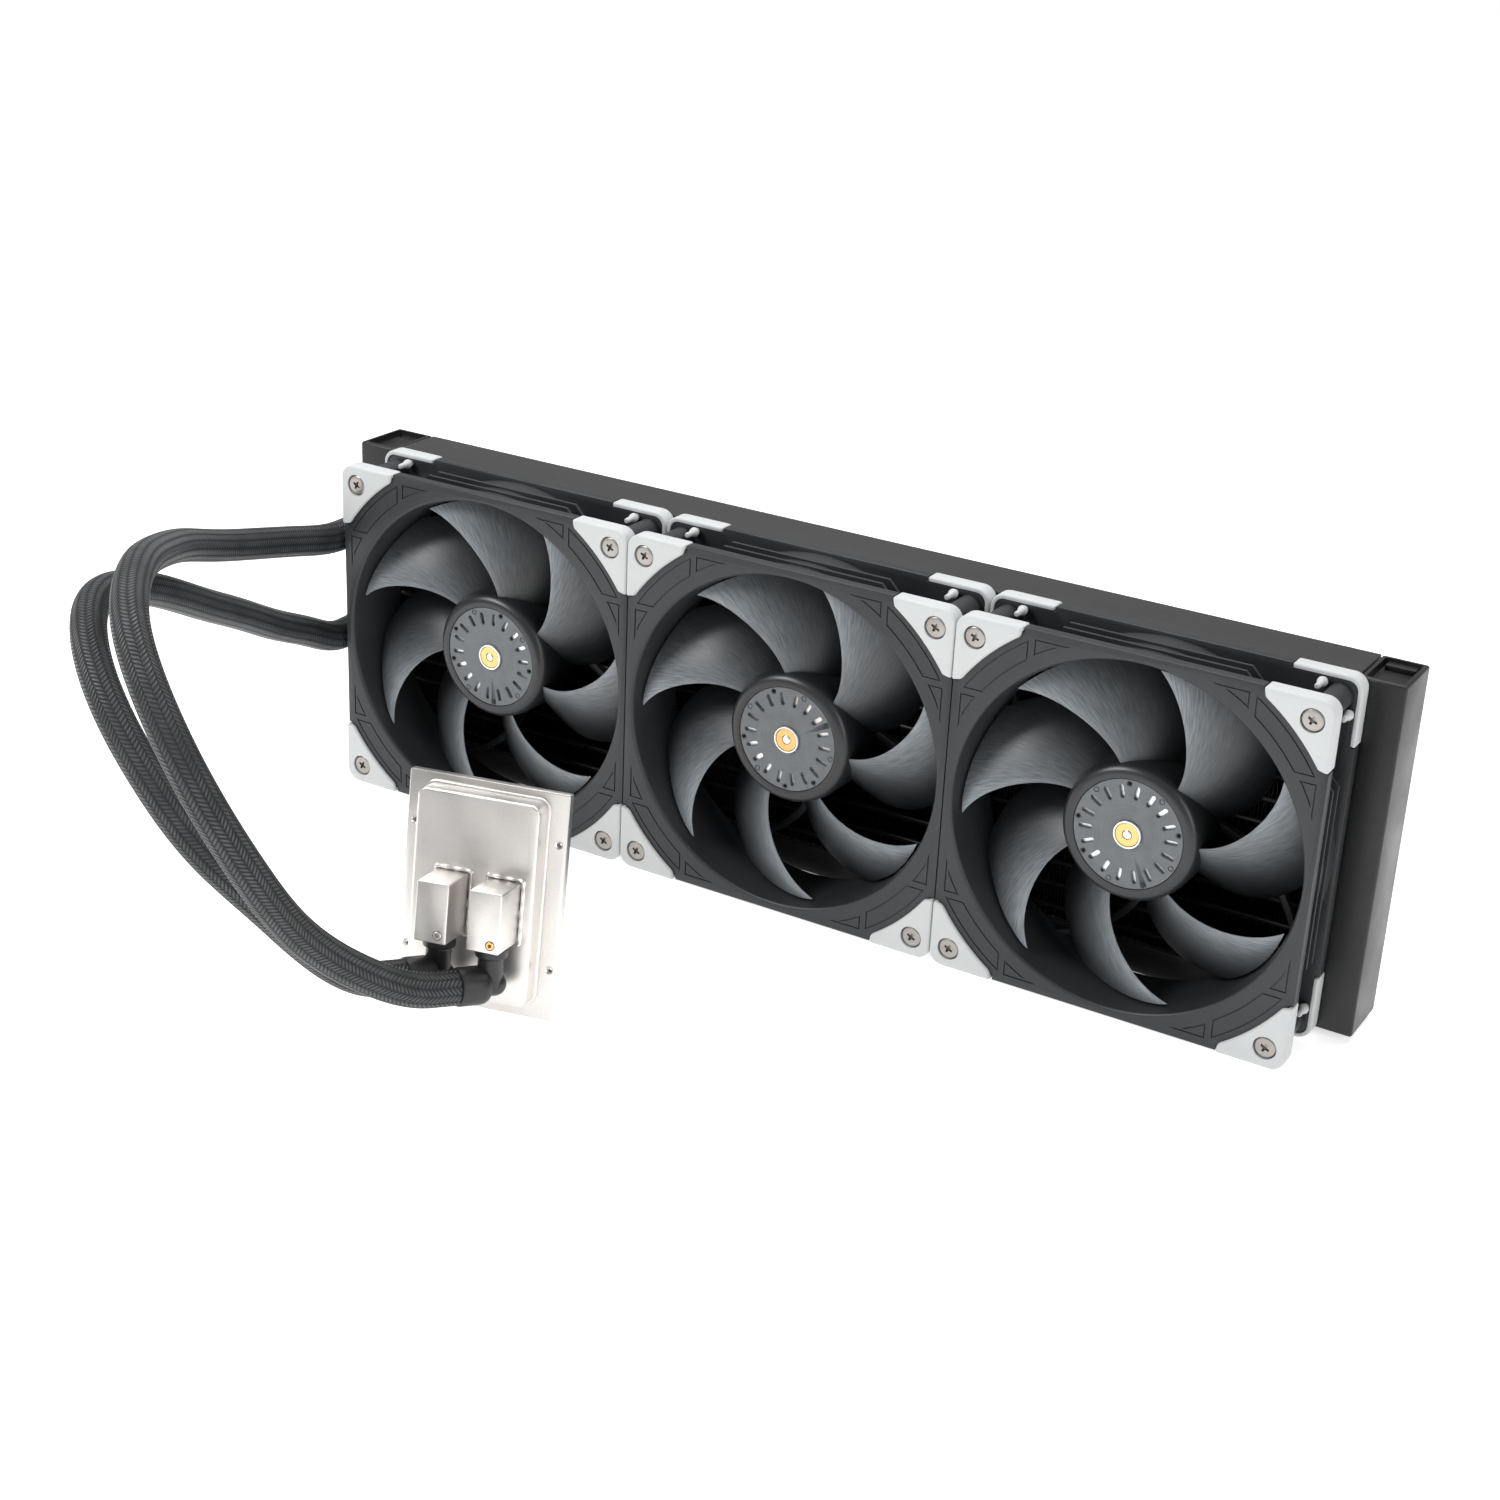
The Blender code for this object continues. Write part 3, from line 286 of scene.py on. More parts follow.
def add_studio():
    scene = bpy.context.scene
    scene.view_settings.view_transform = "Standard"
    world = bpy.data.worlds.new("studio")
    world.use_nodes = True
    sky = world.node_tree.nodes["Background"]
    sky.inputs["Color"].default_value = (1, 1, 1, 1)
    sky.inputs["Strength"].default_value = WORLD_STRENGTH
    scene.world = world
    bpy.ops.mesh.primitive_plane_add(size=FLOOR_SIZE, location=(0, 0, FLOOR_LEVEL))
    floor = bpy.context.object
    floor.name = "floor"
    white = plain("floor_white", (0.9, 0.9, 0.9), 0.9)
    shader = white.node_tree.nodes["Principled BSDF"]
    shader.inputs["Emission Color"].default_value = (1, 1, 1, 1)
    shader.inputs["Emission Strength"].default_value = FLOOR_GLOW
    floor.data.materials.append(white)
    for light in LIGHTS:
        add_light(*light)


# ==== Materials ====


def plain(name, colour, roughness, metallic=0.0):
    made = bpy.data.materials.new(name)
    made.use_nodes = True
    shader = made.node_tree.nodes["Principled BSDF"]
    shader.inputs["Base Color"].default_value = (*colour, 1)
    shader.inputs["Roughness"].default_value = roughness
    shader.inputs["Metallic"].default_value = metallic
    return made


class Nodes:
    """Short ways to add and join a material's nodes."""

    def __init__(self, made):
        self.tree = made.node_tree
        self.shader = self.tree.nodes["Principled BSDF"]
        self.coordinates = self.tree.nodes.new("ShaderNodeTexCoord")

    def add(self, kind, inputs=None, **settings):
        node = self.tree.nodes.new(kind)
        for key, value in settings.items():
            setattr(node, key, value)
        for key, value in (inputs or {}).items():
            if isinstance(value, bpy.types.NodeSocket):
                self.tree.links.new(value, node.inputs[key])
            else:
                node.inputs[key].default_value = value
        return node

    def math(self, operation, *values):
        return self.add("ShaderNodeMath", dict(enumerate(values)), operation=operation).outputs[0]

    def plus(self, first, second):
        return self.math("ADD", first, second)

    def minus(self, first, second):
        return self.math("SUBTRACT", first, second)

    def times(self, first, second):
        return self.math("MULTIPLY", first, second)

    def over(self, first, second):
        return self.math("DIVIDE", first, second)

    def power(self, base, exponent):
        return self.math("POWER", base, exponent)

    def noise(self, scale, detail=3.0, vector=None):
        vector = vector or self.coordinates.outputs["Object"]
        return self.add("ShaderNodeTexNoise",
                        {"Vector": vector, "Scale": scale, "Detail": detail}).outputs["Fac"]

    def range(self, value, low, high, out_low, out_high):
        return self.add("ShaderNodeMapRange",
                        {0: value, 1: low, 2: high, 3: out_low, 4: out_high}).outputs[0]

    def colour(self, factor, dark, light):
        mix = self.add("ShaderNodeMix", {0: factor, 6: (*dark, 1), 7: (*light, 1)},
                       data_type="RGBA")
        self.tree.links.new(mix.outputs[2], self.shader.inputs["Base Color"])

    def roughness(self, value):
        self.tree.links.new(value, self.shader.inputs["Roughness"])

    def bump(self, height, distance, strength=1.0):
        node = self.add("ShaderNodeBump",
                        {"Height": height, "Strength": strength, "Distance": distance})
        self.tree.links.new(node.outputs[0], self.shader.inputs["Normal"])

    def separate(self, vector):
        return self.add("ShaderNodeSeparateXYZ", {0: vector}).outputs


def scaled(colour, by):
    return tuple(channel * by for channel in colour)


def grained(name, colour, roughness, metallic=0.0, grain=1800, depth=0.00004, vary=0.16, cloud=35):
    """A surface with fine grain, soft clouds of colour and uneven gloss."""
    made = plain(name, colour, roughness, metallic)
    nodes = Nodes(made)
    fine = nodes.noise(grain, 2)
    soft = nodes.noise(cloud, 4)
    mixed = nodes.plus(nodes.times(fine, 0.4), nodes.times(soft, 0.6))
    nodes.colour(nodes.range(mixed, 0.3, 0.7, 0, 1), scaled(colour, 1 - vary),
                 scaled(colour, 1 + vary))
    nodes.roughness(nodes.range(soft, 0.3, 0.7, roughness - 0.06, roughness + 0.08))
    nodes.bump(fine, depth)
    return made


def polar(nodes):
    """Radius and angle about a fan's axis, in metres and radians."""
    x, _, z = nodes.separate(nodes.coordinates.outputs["Object"])
    radius = nodes.math("SQRT", nodes.plus(nodes.times(x, x), nodes.times(z, z)))
    return radius, nodes.math("ARCTAN2", z, x)


def blade_look():
    """Satin plastic with a painted sheen, paler towards the leading edges and the tips, with fine
    streaks from the hub.
    """
    made = plain("blade_plastic", (0.05, 0.05, 0.05), 0.38)
    nodes = Nodes(made)
    radius, angle = polar(nodes)
    share = nodes.range(radius, HUB_RADIUS * MM, TIP_RADIUS * MM, 0, 1)
    lead = nodes.minus(nodes.times(share, 0.55), 0.016)
    step = 2 * pi / BLADE_COUNT
    behind = nodes.math("FRACT", nodes.over(nodes.minus(lead, angle), step))
    ahead = nodes.power(nodes.minus(1.0, behind), 2.6)
    # Painted sheen: the colour is paler just ahead of each leading edge and towards the tips,
    # standing in for lamp highlights
    painted_sheen = nodes.times(ahead, nodes.plus(nodes.times(share, 0.6), 0.4))
    swirl = nodes.minus(angle, nodes.times(radius, 9.0))
    flow = {0: nodes.times(swirl, 1.9), 1: nodes.times(radius, 3.0)}
    streaks = nodes.noise(48, 7, nodes.add("ShaderNodeCombineXYZ", flow).outputs[0])
    fine = nodes.noise(2200, 1)
    marks = nodes.range(streaks, 0.32, 0.7, 0.6, 1.35)
    nodes.colour(nodes.times(painted_sheen, marks), (0.007, 0.008, 0.0095), (0.25, 0.275, 0.295))
    nodes.roughness(nodes.range(streaks, 0.3, 0.7, 0.33, 0.47))
    height = nodes.plus(nodes.times(streaks, 0.6), nodes.times(fine, 0.4))
    nodes.bump(height, 0.00006, 0.6)
    return made


def hub_look():
    """Dark glossy shoulder round a paler, finely turned disc."""
    made = plain("hub_plastic", (0.05, 0.05, 0.05), 0.4)
    nodes = Nodes(made)
    radius, _ = polar(nodes)
    disc = nodes.range(radius, (HUB_DISC_RADIUS + 0.1) * MM, (HUB_DISC_RADIUS - 0.3) * MM, 0, 1)
    rings = nodes.add("ShaderNodeCombineXYZ", {0: nodes.times(radius, 2600)}).outputs[0]
    turned_marks = nodes.noise(1.0, 2, rings)
    cloud = nodes.noise(160, 5)
    fine = nodes.noise(2600, 2)
    mottle = nodes.plus(nodes.times(cloud, 0.5), nodes.times(turned_marks, 0.5))
    shade = nodes.times(disc, nodes.range(mottle, 0.35, 0.65, 0.7, 1.15))
    nodes.colour(shade, (0.016, 0.017, 0.019), (0.12, 0.13, 0.137))
    nodes.roughness(nodes.range(disc, 0, 1, 0.34, 0.46))
    height = nodes.plus(nodes.times(fine, 0.5), nodes.times(turned_marks, 0.5))
    nodes.bump(height, 0.00004, 0.7)
    return made


def braid_look():
    """Braided sleeve: columns along the hose, whose strands slant the other way next door, with
    painted highlights on the strand crests and painted shade in the grooves between them.
    """
    made = plain("hose_sleeve", (0.02, 0.02, 0.022), 0.4)
    nodes = Nodes(made)
    around, along, _ = nodes.separate(nodes.coordinates.outputs["UV"])
    columns = nodes.times(around, BRAID_COLUMNS)
    share = nodes.math("FRACT", columns)
    odd = nodes.math("MODULO", nodes.math("FLOOR", columns), 2.0)
    side = nodes.minus(nodes.times(odd, 2.0), 1.0)
    slant = nodes.times(nodes.times(share, side), BRAID_SLANT)
    phase = nodes.plus(nodes.over(along, BRAID_STRAND_CM), slant)
    wave = nodes.math("SINE", nodes.times(phase, pi))
    strand = nodes.power(nodes.math("ABSOLUTE", wave), 0.8)
    arch = nodes.power(nodes.math("SINE", nodes.times(share, pi)), 0.35)
    fibres = nodes.math("ABSOLUTE", nodes.math("SINE", nodes.times(phase, 4 * pi)))
    worn = nodes.noise(90, 4)
    height = nodes.times(arch, nodes.plus(nodes.times(strand, 0.85), 0.15))
    # Painted highlight and shade: the colour is lighter on the raised strand crests and near-black
    # in the grooves between them
    light = nodes.times(nodes.power(height, 2.4), nodes.range(worn, 0.3, 0.7, 0.5, 1.2))
    nodes.colour(light, (0.001, 0.0012, 0.0014), (0.062, 0.068, 0.074))
    nodes.roughness(nodes.range(height, 0.1, 1.0, 0.75, 0.34))
    nodes.bump(nodes.plus(height, nodes.times(fibres, 0.06)), 0.0004, 1.0)
    return made


def nickel_look(name, colour=(0.80, 0.775, 0.745), roughness=0.36):
    """Bead-blasted plated metal: fine grain, with faint clouds in its colour and gloss."""
    made = plain(name, colour, roughness, 1.0)
    nodes = Nodes(made)
    fine = nodes.noise(2400, 3)
    cloud = nodes.noise(45, 4)
    mixed = nodes.plus(nodes.times(fine, 0.5), nodes.times(cloud, 0.5))
    nodes.colour(nodes.range(mixed, 0.35, 0.65, 0, 1), scaled(colour, 0.9), scaled(colour, 1.05))
    nodes.roughness(nodes.range(cloud, 0.3, 0.7, roughness - 0.05, roughness + 0.06))
    nodes.bump(fine, 0.00002, 0.5)
    return made


def looks():
    return {
        "frame": grained("frame_plastic", (0.019, 0.021, 0.0235), 0.46, grain=2400),
        "blade": blade_look(),
        "hub": hub_look(),
        "pad": grained("pad_rubber", (0.52, 0.535, 0.535), 0.6, grain=2200, depth=0.00003,
                       vary=0.05),
        "black": grained("black_paint", (0.006, 0.0063, 0.0067), 0.4, grain=2600, depth=0.00006),
        "channel": grained("side_plate_paint", (0.022, 0.0222, 0.0225), 0.46, grain=2800,
                           depth=0.00007, vary=0.1),
        "fin": grained("fin_black", (0.012, 0.012, 0.0125), 0.4, 0.4, grain=900),
        "elbow": grained("fitting_black", (0.013, 0.0135, 0.0145), 0.4, grain=1600),
        "nickel": nickel_look("block_nickel"),
        "screw": nickel_look("screw_nickel", (0.36, 0.34, 0.315), 0.33),
        "steel": nickel_look("motor_steel", (0.80, 0.84, 0.87), 0.34),
        "brass": nickel_look("brass", (0.80, 0.50, 0.20), 0.3),
        "copper": nickel_look("copper", (0.80, 0.42, 0.27), 0.32),
        "braid": braid_look(),
    }


# ==== Mesh tools ====


def shape(name, points, faces):
    mesh = bpy.data.meshes.new(name)
    mesh.from_pydata([tuple(p) for p in points], [], faces)
    work = bmesh.new()
    work.from_mesh(mesh)
    bmesh.ops.remove_doubles(work, verts=work.verts, dist=1e-5)
    bmesh.ops.recalc_face_normals(work, faces=work.faces)
    work.to_mesh(mesh)
    work.free()
    return linked(name, mesh)


def box(x, y, z):
    return shape("box", [(i, j, k) for i in x for j in y for k in z], BOX_FACES)


def between_rims(name, points):
    """A closed solid from the points of one rim and then the same number of the other."""
    count = len(points) // 2
    faces = [tuple(range(count)), tuple(range(2 * count - 1, count - 1, -1))]
    faces += [(i, (i + 1) % count, (i + 1) % count + count, i + count) for i in range(count)]
    return shape(name, points, faces)


def prism(outline, low, high):
    """An (x, z) outline extruded along y."""
    return between_rims("prism", [(x, y, z) for y in (low, high) for x, z in outline])


def turned(profile, steps=ROUND_STEPS):
    """A closed (radius, y) profile turned about the y axis."""
    points = []
    rings = []
    for radius, y in profile:
        if radius == 0:
            rings.append([len(points)] * steps)
            points.append((0, y, 0))
            continue
        rings.append(list(range(len(points), len(points) + steps)))
        for step in range(steps):
            angle = 2 * pi * step / steps
            points.append((radius * cos(angle), y, radius * sin(angle)))
    faces = []
    for here, there in zip(rings, rings[1:] + rings[:1]):
        for step in range(steps):
            after = (step + 1) % steps
            corners = tuple(dict.fromkeys((here[step], here[after], there[after], there[step])))
            if len(corners) > 2:
                faces.append(corners)
    return shape("turned", points, faces)


def about_y(turn_deg):
    """A turn from x towards z."""
    return Matrix.Rotation(-radians(turn_deg), 4, "Y")


def cylinder(radius, low, high, steps=ROUND_STEPS):
    return turned([(0, low), (radius, low), (radius, high), (0, high)], steps)


def placed(made, matrix):
    made.data.transform(matrix)
    return made


def moved(made, x=0.0, y=0.0, z=0.0):
    return placed(made, Matrix.Translation((x, y, z)))


def applied(made):
    """Puts the result of an object's modifiers into its mesh."""
    bpy.context.view_layer.update()
    graph = bpy.context.evaluated_depsgraph_get()
    result = bpy.data.meshes.new_from_object(made.evaluated_get(graph))
    made.modifiers.clear()
    made.data = result
    return made


def combined(target, others, operation):
    for other in others:
        step = target.modifiers.new(operation, "BOOLEAN")
        step.operation = operation
        step.solver = "EXACT"
        step.object = other
        applied(target)
        bpy.data.objects.remove(other, do_unlink=True)
    return target


def union(target, *others):
    return combined(target, others, "UNION")


def cut(target, *others):
    return combined(target, others, "DIFFERENCE")


def joined(target, *others):
    """Shapes in one mesh without a Boolean, for pieces that only touch or sink into each other."""
    work = bmesh.new()
    for source in (target, *others):
        work.from_mesh(source.data)
    work.to_mesh(target.data)
    work.free()
    for other in others:
        bpy.data.objects.remove(other, do_unlink=True)
    return target


def bevelled(made, width, segments=2, angle_deg=35.0):
    step = made.modifiers.new("edges", "BEVEL")
    step.width = width
    step.segments = segments
    step.limit_method = "ANGLE"
    step.angle_limit = radians(angle_deg)
    return applied(made)


def piece(name, made, look, body="cooler", replaces=(), centre=None, turn_deg=0.0, crease_deg=35.0):
    """Names a scratch shape, puts it in metres in the frame and declares what it rides on."""
    made.data.transform(Matrix.Scale(MM, 4))
    made.data.materials.clear()
    made.data.materials.append(look)
    made.data.shade_smooth()
    made.data.set_sharp_from_angle(angle=radians(crease_deg))
    made.name = name
    made.data.name = name
    return settled(made, body, replaces, centre, turn_deg)


def settled(made, body, replaces=(), centre=None, turn_deg=0.0):
    place = SHIFT if centre is None else SHIFT + Vector(centre) * MM
    made.matrix_world = Matrix.Translation(place) @ about_y(turn_deg)
    bpy.context.view_layer.update()
    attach(made, body)
    if replaces:
        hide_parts(*replaces)
    return made


def copied(name, source, body, replaces=(), centre=None, turn_deg=0.0):
    return settled(linked(name, source.data), body, replaces, centre, turn_deg)


def on_each_fan(name, made, look, role=None, moving=False, crease_deg=35.0):
    """The same piece on every fan, standing for the CAD node of that role."""
    first = None
    for index, centre in enumerate(FAN_CENTRES):
        number = index + 1
        body = f"fan_{number}_spinner" if moving else "cooler"
        turn = IMPELLER_TURN_DEG[index] if moving else 0.0
        stands_for = (f"fan_{number}_{role}",) if role else ()
        title = f"fan_{number}_{name}"
        if first is None:
            first = piece(title, made, look, body, stands_for, centre, turn, crease_deg)
        else:
            copied(title, first, body, stands_for, centre, turn)


def arc(radius, start_deg, end_deg, steps, centre=(0.0, 0.0)):
    angles = [radians(start_deg + (end_deg - start_deg) * i / steps) for i in range(steps + 1)]
    return [(centre[0] + radius * cos(a), centre[1] + radius * sin(a)) for a in angles]


def mirrored(points, sx, sz):
    return [(sx * x, sz * z) for x, z in points]


def turned_quarter(points, turns):
    for _ in range(turns):
        points = [(-z, x) for x, z in points]
    return points


# ==== Fans ====


def flange_outline():
    """The square flange, set back at each corner to make room for a pad's wrap."""
    room = FAN_HALF - PAD_WALL - 0.1
    start = FAN_HALF - PAD_LEG - 0.2
    radius = CORNER_RADIUS - PAD_WALL
    corner = arc(radius, 0, 90, 6, (room - radius, room - radius))
    one = [(FAN_HALF, start), (room, start), *corner, (start, room), (start, FAN_HALF)]
    return [point for turns in range(4) for point in turned_quarter(one, turns)]


def strip_inside(outline, width):
    """A ring-shaped cutter that follows a convex outline just inside its edge."""
    centre = np.mean(outline, axis=0)
    points = np.array(outline)
    inner = []
    count = len(points)
    for i in range(count):
        before = points[i] - points[i - 1]
        after = points[(i + 1) % count] - points[i]
        normals = [np.array((-edge[1], edge[0])) / np.linalg.norm(edge) for edge in (before, after)]
        normals = [n if np.dot(n, centre - points[i]) > 0 else -n for n in normals]
        bisector = normals[0] + normals[1]
        inner.append(points[i] + bisector * width / max(0.5, np.dot(bisector, normals[0])))
    ring = prism(outline, FRAME_FRONT_Y - 1, FRAME_FRONT_Y + GROOVE_DEPTH)
    return cut(ring, prism([tuple(p) for p in inner], FRAME_FRONT_Y - 2, FRAME_FRONT_Y + 2))


def panel_outlines():
    """The engraved panels of one corner: a curved one and a triangle on either side of it."""
    low, high = PANEL_RADII
    inner, outer = (degrees(acos(PANEL_SIDE / radius)) for radius in PANEL_RADII)
    curved = [*arc(low, inner, 90 - inner, 8), *arc(high, 90 - outer, outer, 8)]
    tip = sqrt(TRIANGLE_RADIUS ** 2 - PANEL_EDGE ** 2)
    at = degrees(asin(PANEL_EDGE / TRIANGLE_RADIUS))
    to = degrees(acos(TRIANGLE_NEAR / TRIANGLE_RADIUS))
    triangle = [(TRIANGLE_NEAR, PANEL_EDGE), *arc(TRIANGLE_RADIUS, to, at - 2, 5),
                (tip - 2.0, PANEL_EDGE)]
    return curved, triangle, [(z, x) for x, z in triangle]


def strut(start_deg):
    radii = np.linspace(CUP_RADIUS - 2, DUCT_RADIUS + 1, 14)
    sides = ([], [])
    for radius in radii:
        angle = radians(start_deg + STRUT_SWEEP_DEG_PER_MM * (radius - CUP_RADIUS))
        half = STRUT_HALF_WIDTH / radius
        for side, sign in zip(sides, (1, -1)):
            side.append((radius * cos(angle + sign * half), radius * sin(angle + sign * half)))
    return bevelled(prism(sides[1] + sides[0][::-1], FRAME_REAR_Y - STRUT_DEPTH, FRAME_REAR_Y), 0.5)


def housing():
    """Two flanges joined by the duct, its ribs and corner posts; the struts and motor cup are made
    by motor_mount.
    """
    front_end = FRAME_FRONT_Y + FLANGE_THICKNESS
    rear_start = FRAME_REAR_Y - FLANGE_THICKNESS
    outer = DUCT_RADIUS + DUCT_THICKNESS
    body = turned([(10, front_end - 2), (outer, front_end - 2), (outer, rear_start + 2),
                   (10, rear_start + 2)], 128)
    body = union(body, bevelled(prism(flange_outline(), FRAME_FRONT_Y, front_end), 0.35),
                 bevelled(prism(flange_outline(), rear_start, FRAME_REAR_Y), 0.35))
    for level in RIB_LEVELS:
        for turns in range(4):
            rib = turned_quarter(RIB_OUTLINE, turns)
            body = union(body, prism(rib, level, level + RIB_THICKNESS))
    lip = arc(MOUTH_RADIUS, 180, 90, 5)
    mouth = [(BORE_RADIUS + MOUTH_RADIUS + x, FRAME_FRONT_Y + MOUTH_RADIUS - z)
             for x, z in lip][::-1]
    bore = turned([(0, FRAME_FRONT_Y - 1), (BORE_RADIUS + MOUTH_RADIUS, FRAME_FRONT_Y - 1), *mouth,
                   (DUCT_RADIUS, FRAME_FRONT_Y + 4), (DUCT_RADIUS, rear_start),
                   (BORE_RADIUS, FRAME_REAR_Y),
                   (BORE_RADIUS, FRAME_REAR_Y + 1), (0, FRAME_REAR_Y + 1)], 128)
    body = cut(body, bore)
    for sx in (1, -1):
        for sz in (1, -1):
            x = sx * HOLE_OFFSET
            z = sz * HOLE_OFFSET
            post = moved(cylinder(POST_RADIUS, front_end - 1, rear_start + 1, 32), x, 0, z)
            seat = moved(cylinder(SCREW_HEAD_RADIUS + 0.25, FRAME_FRONT_Y - 1, SCREW_SEAT_DEPTH,
                                  32), x, 0, z)
            hole = moved(cylinder(SCREW_HOLE_RADIUS, 0, FRAME_REAR_Y + 1, 24), x, 0, z)
            body = cut(union(body, post), seat, hole)
            for outline in panel_outlines():
                body = cut(body, strip_inside(mirrored(outline, sx, sz), GROOVE_WIDTH))
    return body


def motor_mount():
    """Struts, motor cup and bearing tube behind the impeller."""
    cup = turned([(0, FRAME_REAR_Y), (0, 28.7), (1.8, 28.7), (1.8, 12), (4, 12), (4, 27.3),
                  (CUP_RADIUS - 0.8, 27.3),
                  (CUP_RADIUS, 28.1), (CUP_RADIUS, FRAME_REAR_Y)], 96)
    return union(cup, *[strut(STRUT_START_DEG + 90 * index) for index in range(4)])


def pad_outline(inset=0.0):
    tip = FAN_HALF - PAD_LEG
    inner = FAN_HALF - PAD_TIP_DEPTH
    inner_angle = degrees(asin(inner / PAD_ARC_RADIUS))
    outer = FAN_HALF - inset
    radius = CORNER_RADIUS - inset
    corner = arc(radius, 0, 90, 8, (FAN_HALF - CORNER_RADIUS,) * 2)
    return [(outer, tip), *corner, (tip, outer),
            *arc(PAD_ARC_RADIUS, inner_angle, 90 - inner_angle, 16)]


def pad(sx, sz, plate, wrap, hole_radius):
    """A corner pad: a flat face between two levels and a wall that wraps round the sides."""
    body = prism(mirrored(pad_outline(), sx, sz), min(*plate, *wrap), max(*plate, *wrap))
    inner = FAN_HALF - PAD_WALL
    radius = CORNER_RADIUS - PAD_WALL
    room = [(inner, 0), *arc(radius, 0, 90, 8, (inner - radius,) * 2), (0, inner), (0, 0)]
    low, high = (plate[1], wrap[1] + 1) if wrap[1] > plate[1] else (wrap[0] - 1, plate[0])
    body = bevelled(body, 0.95, 3)
    body = bevelled(cut(body, prism(mirrored(room, sx, sz), low, high)), 0.15, 1, 60)
    hole = moved(cylinder(hole_radius, min(*plate) - 5, max(*plate) + 5, 48), sx * HOLE_OFFSET, 0,
                 sz * HOLE_OFFSET)
    return cut(body, hole)


def pad_pins(sx, sz):
    """The rubber nipples that hold a rear pad: a bulge just in front of the flange, then a tail."""
    start = FRAME_REAR_Y - FLANGE_THICKNESS + 0.5
    profile = [(radius, start - ahead) for radius, ahead in PAD_PIN_PROFILE]
    return joined(*[moved(turned(profile, 24), sx * x, 0, sz * z) for x, z in PAD_PIN_PLACES])


def screw():
    """Low chamfered head with a cross recess, nearly flush with the pad, and a threaded shank."""
    top = PAD_FRONT_Y + 0.35
    profile = [(radius, top + depth) for radius, depth in SCREW_HEAD_PROFILE]
    profile += [(1.9 if i % 2 else 1.6, 2.2 + 0.35 * i) for i in range(96)]
    head = turned([*profile, (1.6, 36.0), (0, 36.4)], 40)
    recess = [cylinder(0.95, top - 1, top + 1.7, 16)]
    for turns in (0, 1):
        wing = prism([(-1.8, -0.42), (1.8, -0.42), (1.8, 0.42), (-1.8, 0.42)], top - 1, top + 1.4)
        recess.append(placed(wing, Matrix.Rotation(radians(90 * turns + 30), 4, "Y")))
    for turns in range(4):
        angle = radians(90 * turns + 75)
        recess.append(moved(cylinder(0.3, top - 1, top + 0.7, 10), 1.25 * cos(angle), 0,
                            1.25 * sin(angle)))
    return cut(head, *recess)


def hub():
    """Hub cap with rounded shoulder, recessed disc, vent slots and dimples."""
    front = HUB_INSIDE_Y
    profile = [(5.6, 6.0), (HUB_DISC_RADIUS - 0.25, 6.0), (HUB_DISC_RADIUS - 0.05, 6.25),
               (HUB_DISC_RADIUS + 0.15, 5.8),
               (22.4, 5.6), (23.6, 5.75), (24.9, 6.5), (25.8, 7.7), (26.3, 9.3),
               (HUB_RADIUS, 11.5), (HUB_RADIUS, 26.0),
               (24.2, 26.0), (24.2, front), (5.6, front)]
    body = turned(profile, HUB_STEPS)
    for index in range(SLOT_COUNT):
        angle = 360 * (index + 0.5) / SLOT_COUNT + SLOT_PHASE_DEG
        half = SLOT_WIDTH / 2
        outline = (arc(half, 90, 270, 6, (SLOT_RADII[0] + half, 0))
                   + arc(half, -90, 90, 6, (SLOT_RADII[1] - half, 0)))
        slot = placed(prism(outline, 4, front + 1), about_y(angle))
        body = cut(body, slot)
    for index in range(SLOT_COUNT // 2):
        angle = radians(360 * index * 2 / SLOT_COUNT + SLOT_PHASE_DEG)
        x = DIMPLE_PLACE_RADIUS * cos(angle)
        z = DIMPLE_PLACE_RADIUS * sin(angle)
        core = moved(cylinder(DIMPLE_CORE_RADIUS, 4, 7, 20), x, 0, z)
        body = cut(body, cut(moved(cylinder(DIMPLE_RADIUS, 5, 6.35, 20), x, 0, z), core))
    return body


def blades():
    chord_steps = 22
    stations = np.array(BLADE_STATIONS)
    shares = np.linspace(stations[0, 0], 1.0, 30)
    fitted = [np.polyval(np.polyfit(stations[:, 0], stations[:, column], 4), shares)
              for column in range(1, 5)]
    lead_deg, lead_y, trail_deg, trail_y = fitted
    along = np.linspace(0, 1, chord_steps + 1)[None, :]
    radius = (HUB_RADIUS + shares * (TIP_RADIUS - HUB_RADIUS))[:, None]
    angle = np.radians(lead_deg[:, None] + (trail_deg - lead_deg)[:, None] * along)
    depth = lead_y[:, None] + (trail_y - lead_y)[:, None] * along ** 1.25
    middle = np.stack((radius * np.cos(angle), depth, radius * np.sin(angle)), axis=2)
    normal = np.cross(np.gradient(middle, axis=0), np.gradient(middle, axis=1))
    normal /= np.linalg.norm(normal, axis=2, keepdims=True)
    thick = 0.18 + 0.82 * np.sqrt(np.clip(np.sin(np.pi * np.clip(along, 0, 1)), 0, 1))
    half = normal * (BLADE_THICKNESS / 2) * thick[:, :, None]
    rows, width = middle.shape[:2]
    points = np.vstack(((middle + half).reshape(-1, 3), (middle - half).reshape(-1, 3)))
    count = rows * width
    faces = []
    for row in range(rows - 1):
        for step in range(width - 1):
            a = row * width + step
            faces.append((a, a + 1, a + width + 1, a + width))
            faces.append((count + a, count + a + width, count + a + width + 1, count + a + 1))
    rim = [*range(width), *[row * width + width - 1 for row in range(1, rows)],
           *[(rows - 1) * width + step for step in range(width - 2, -1, -1)],
           *[row * width for row in range(rows - 2, 0, -1)]]
    faces += [(b, a, count + a, count + b) for a, b in zip(rim, rim[1:] + rim[:1])]
    made = []
    for index in range(BLADE_COUNT):
        blade = shape("blade", points, faces)
        made.append(placed(blade, about_y(360 * index / BLADE_COUNT)))
    return joined(*made)


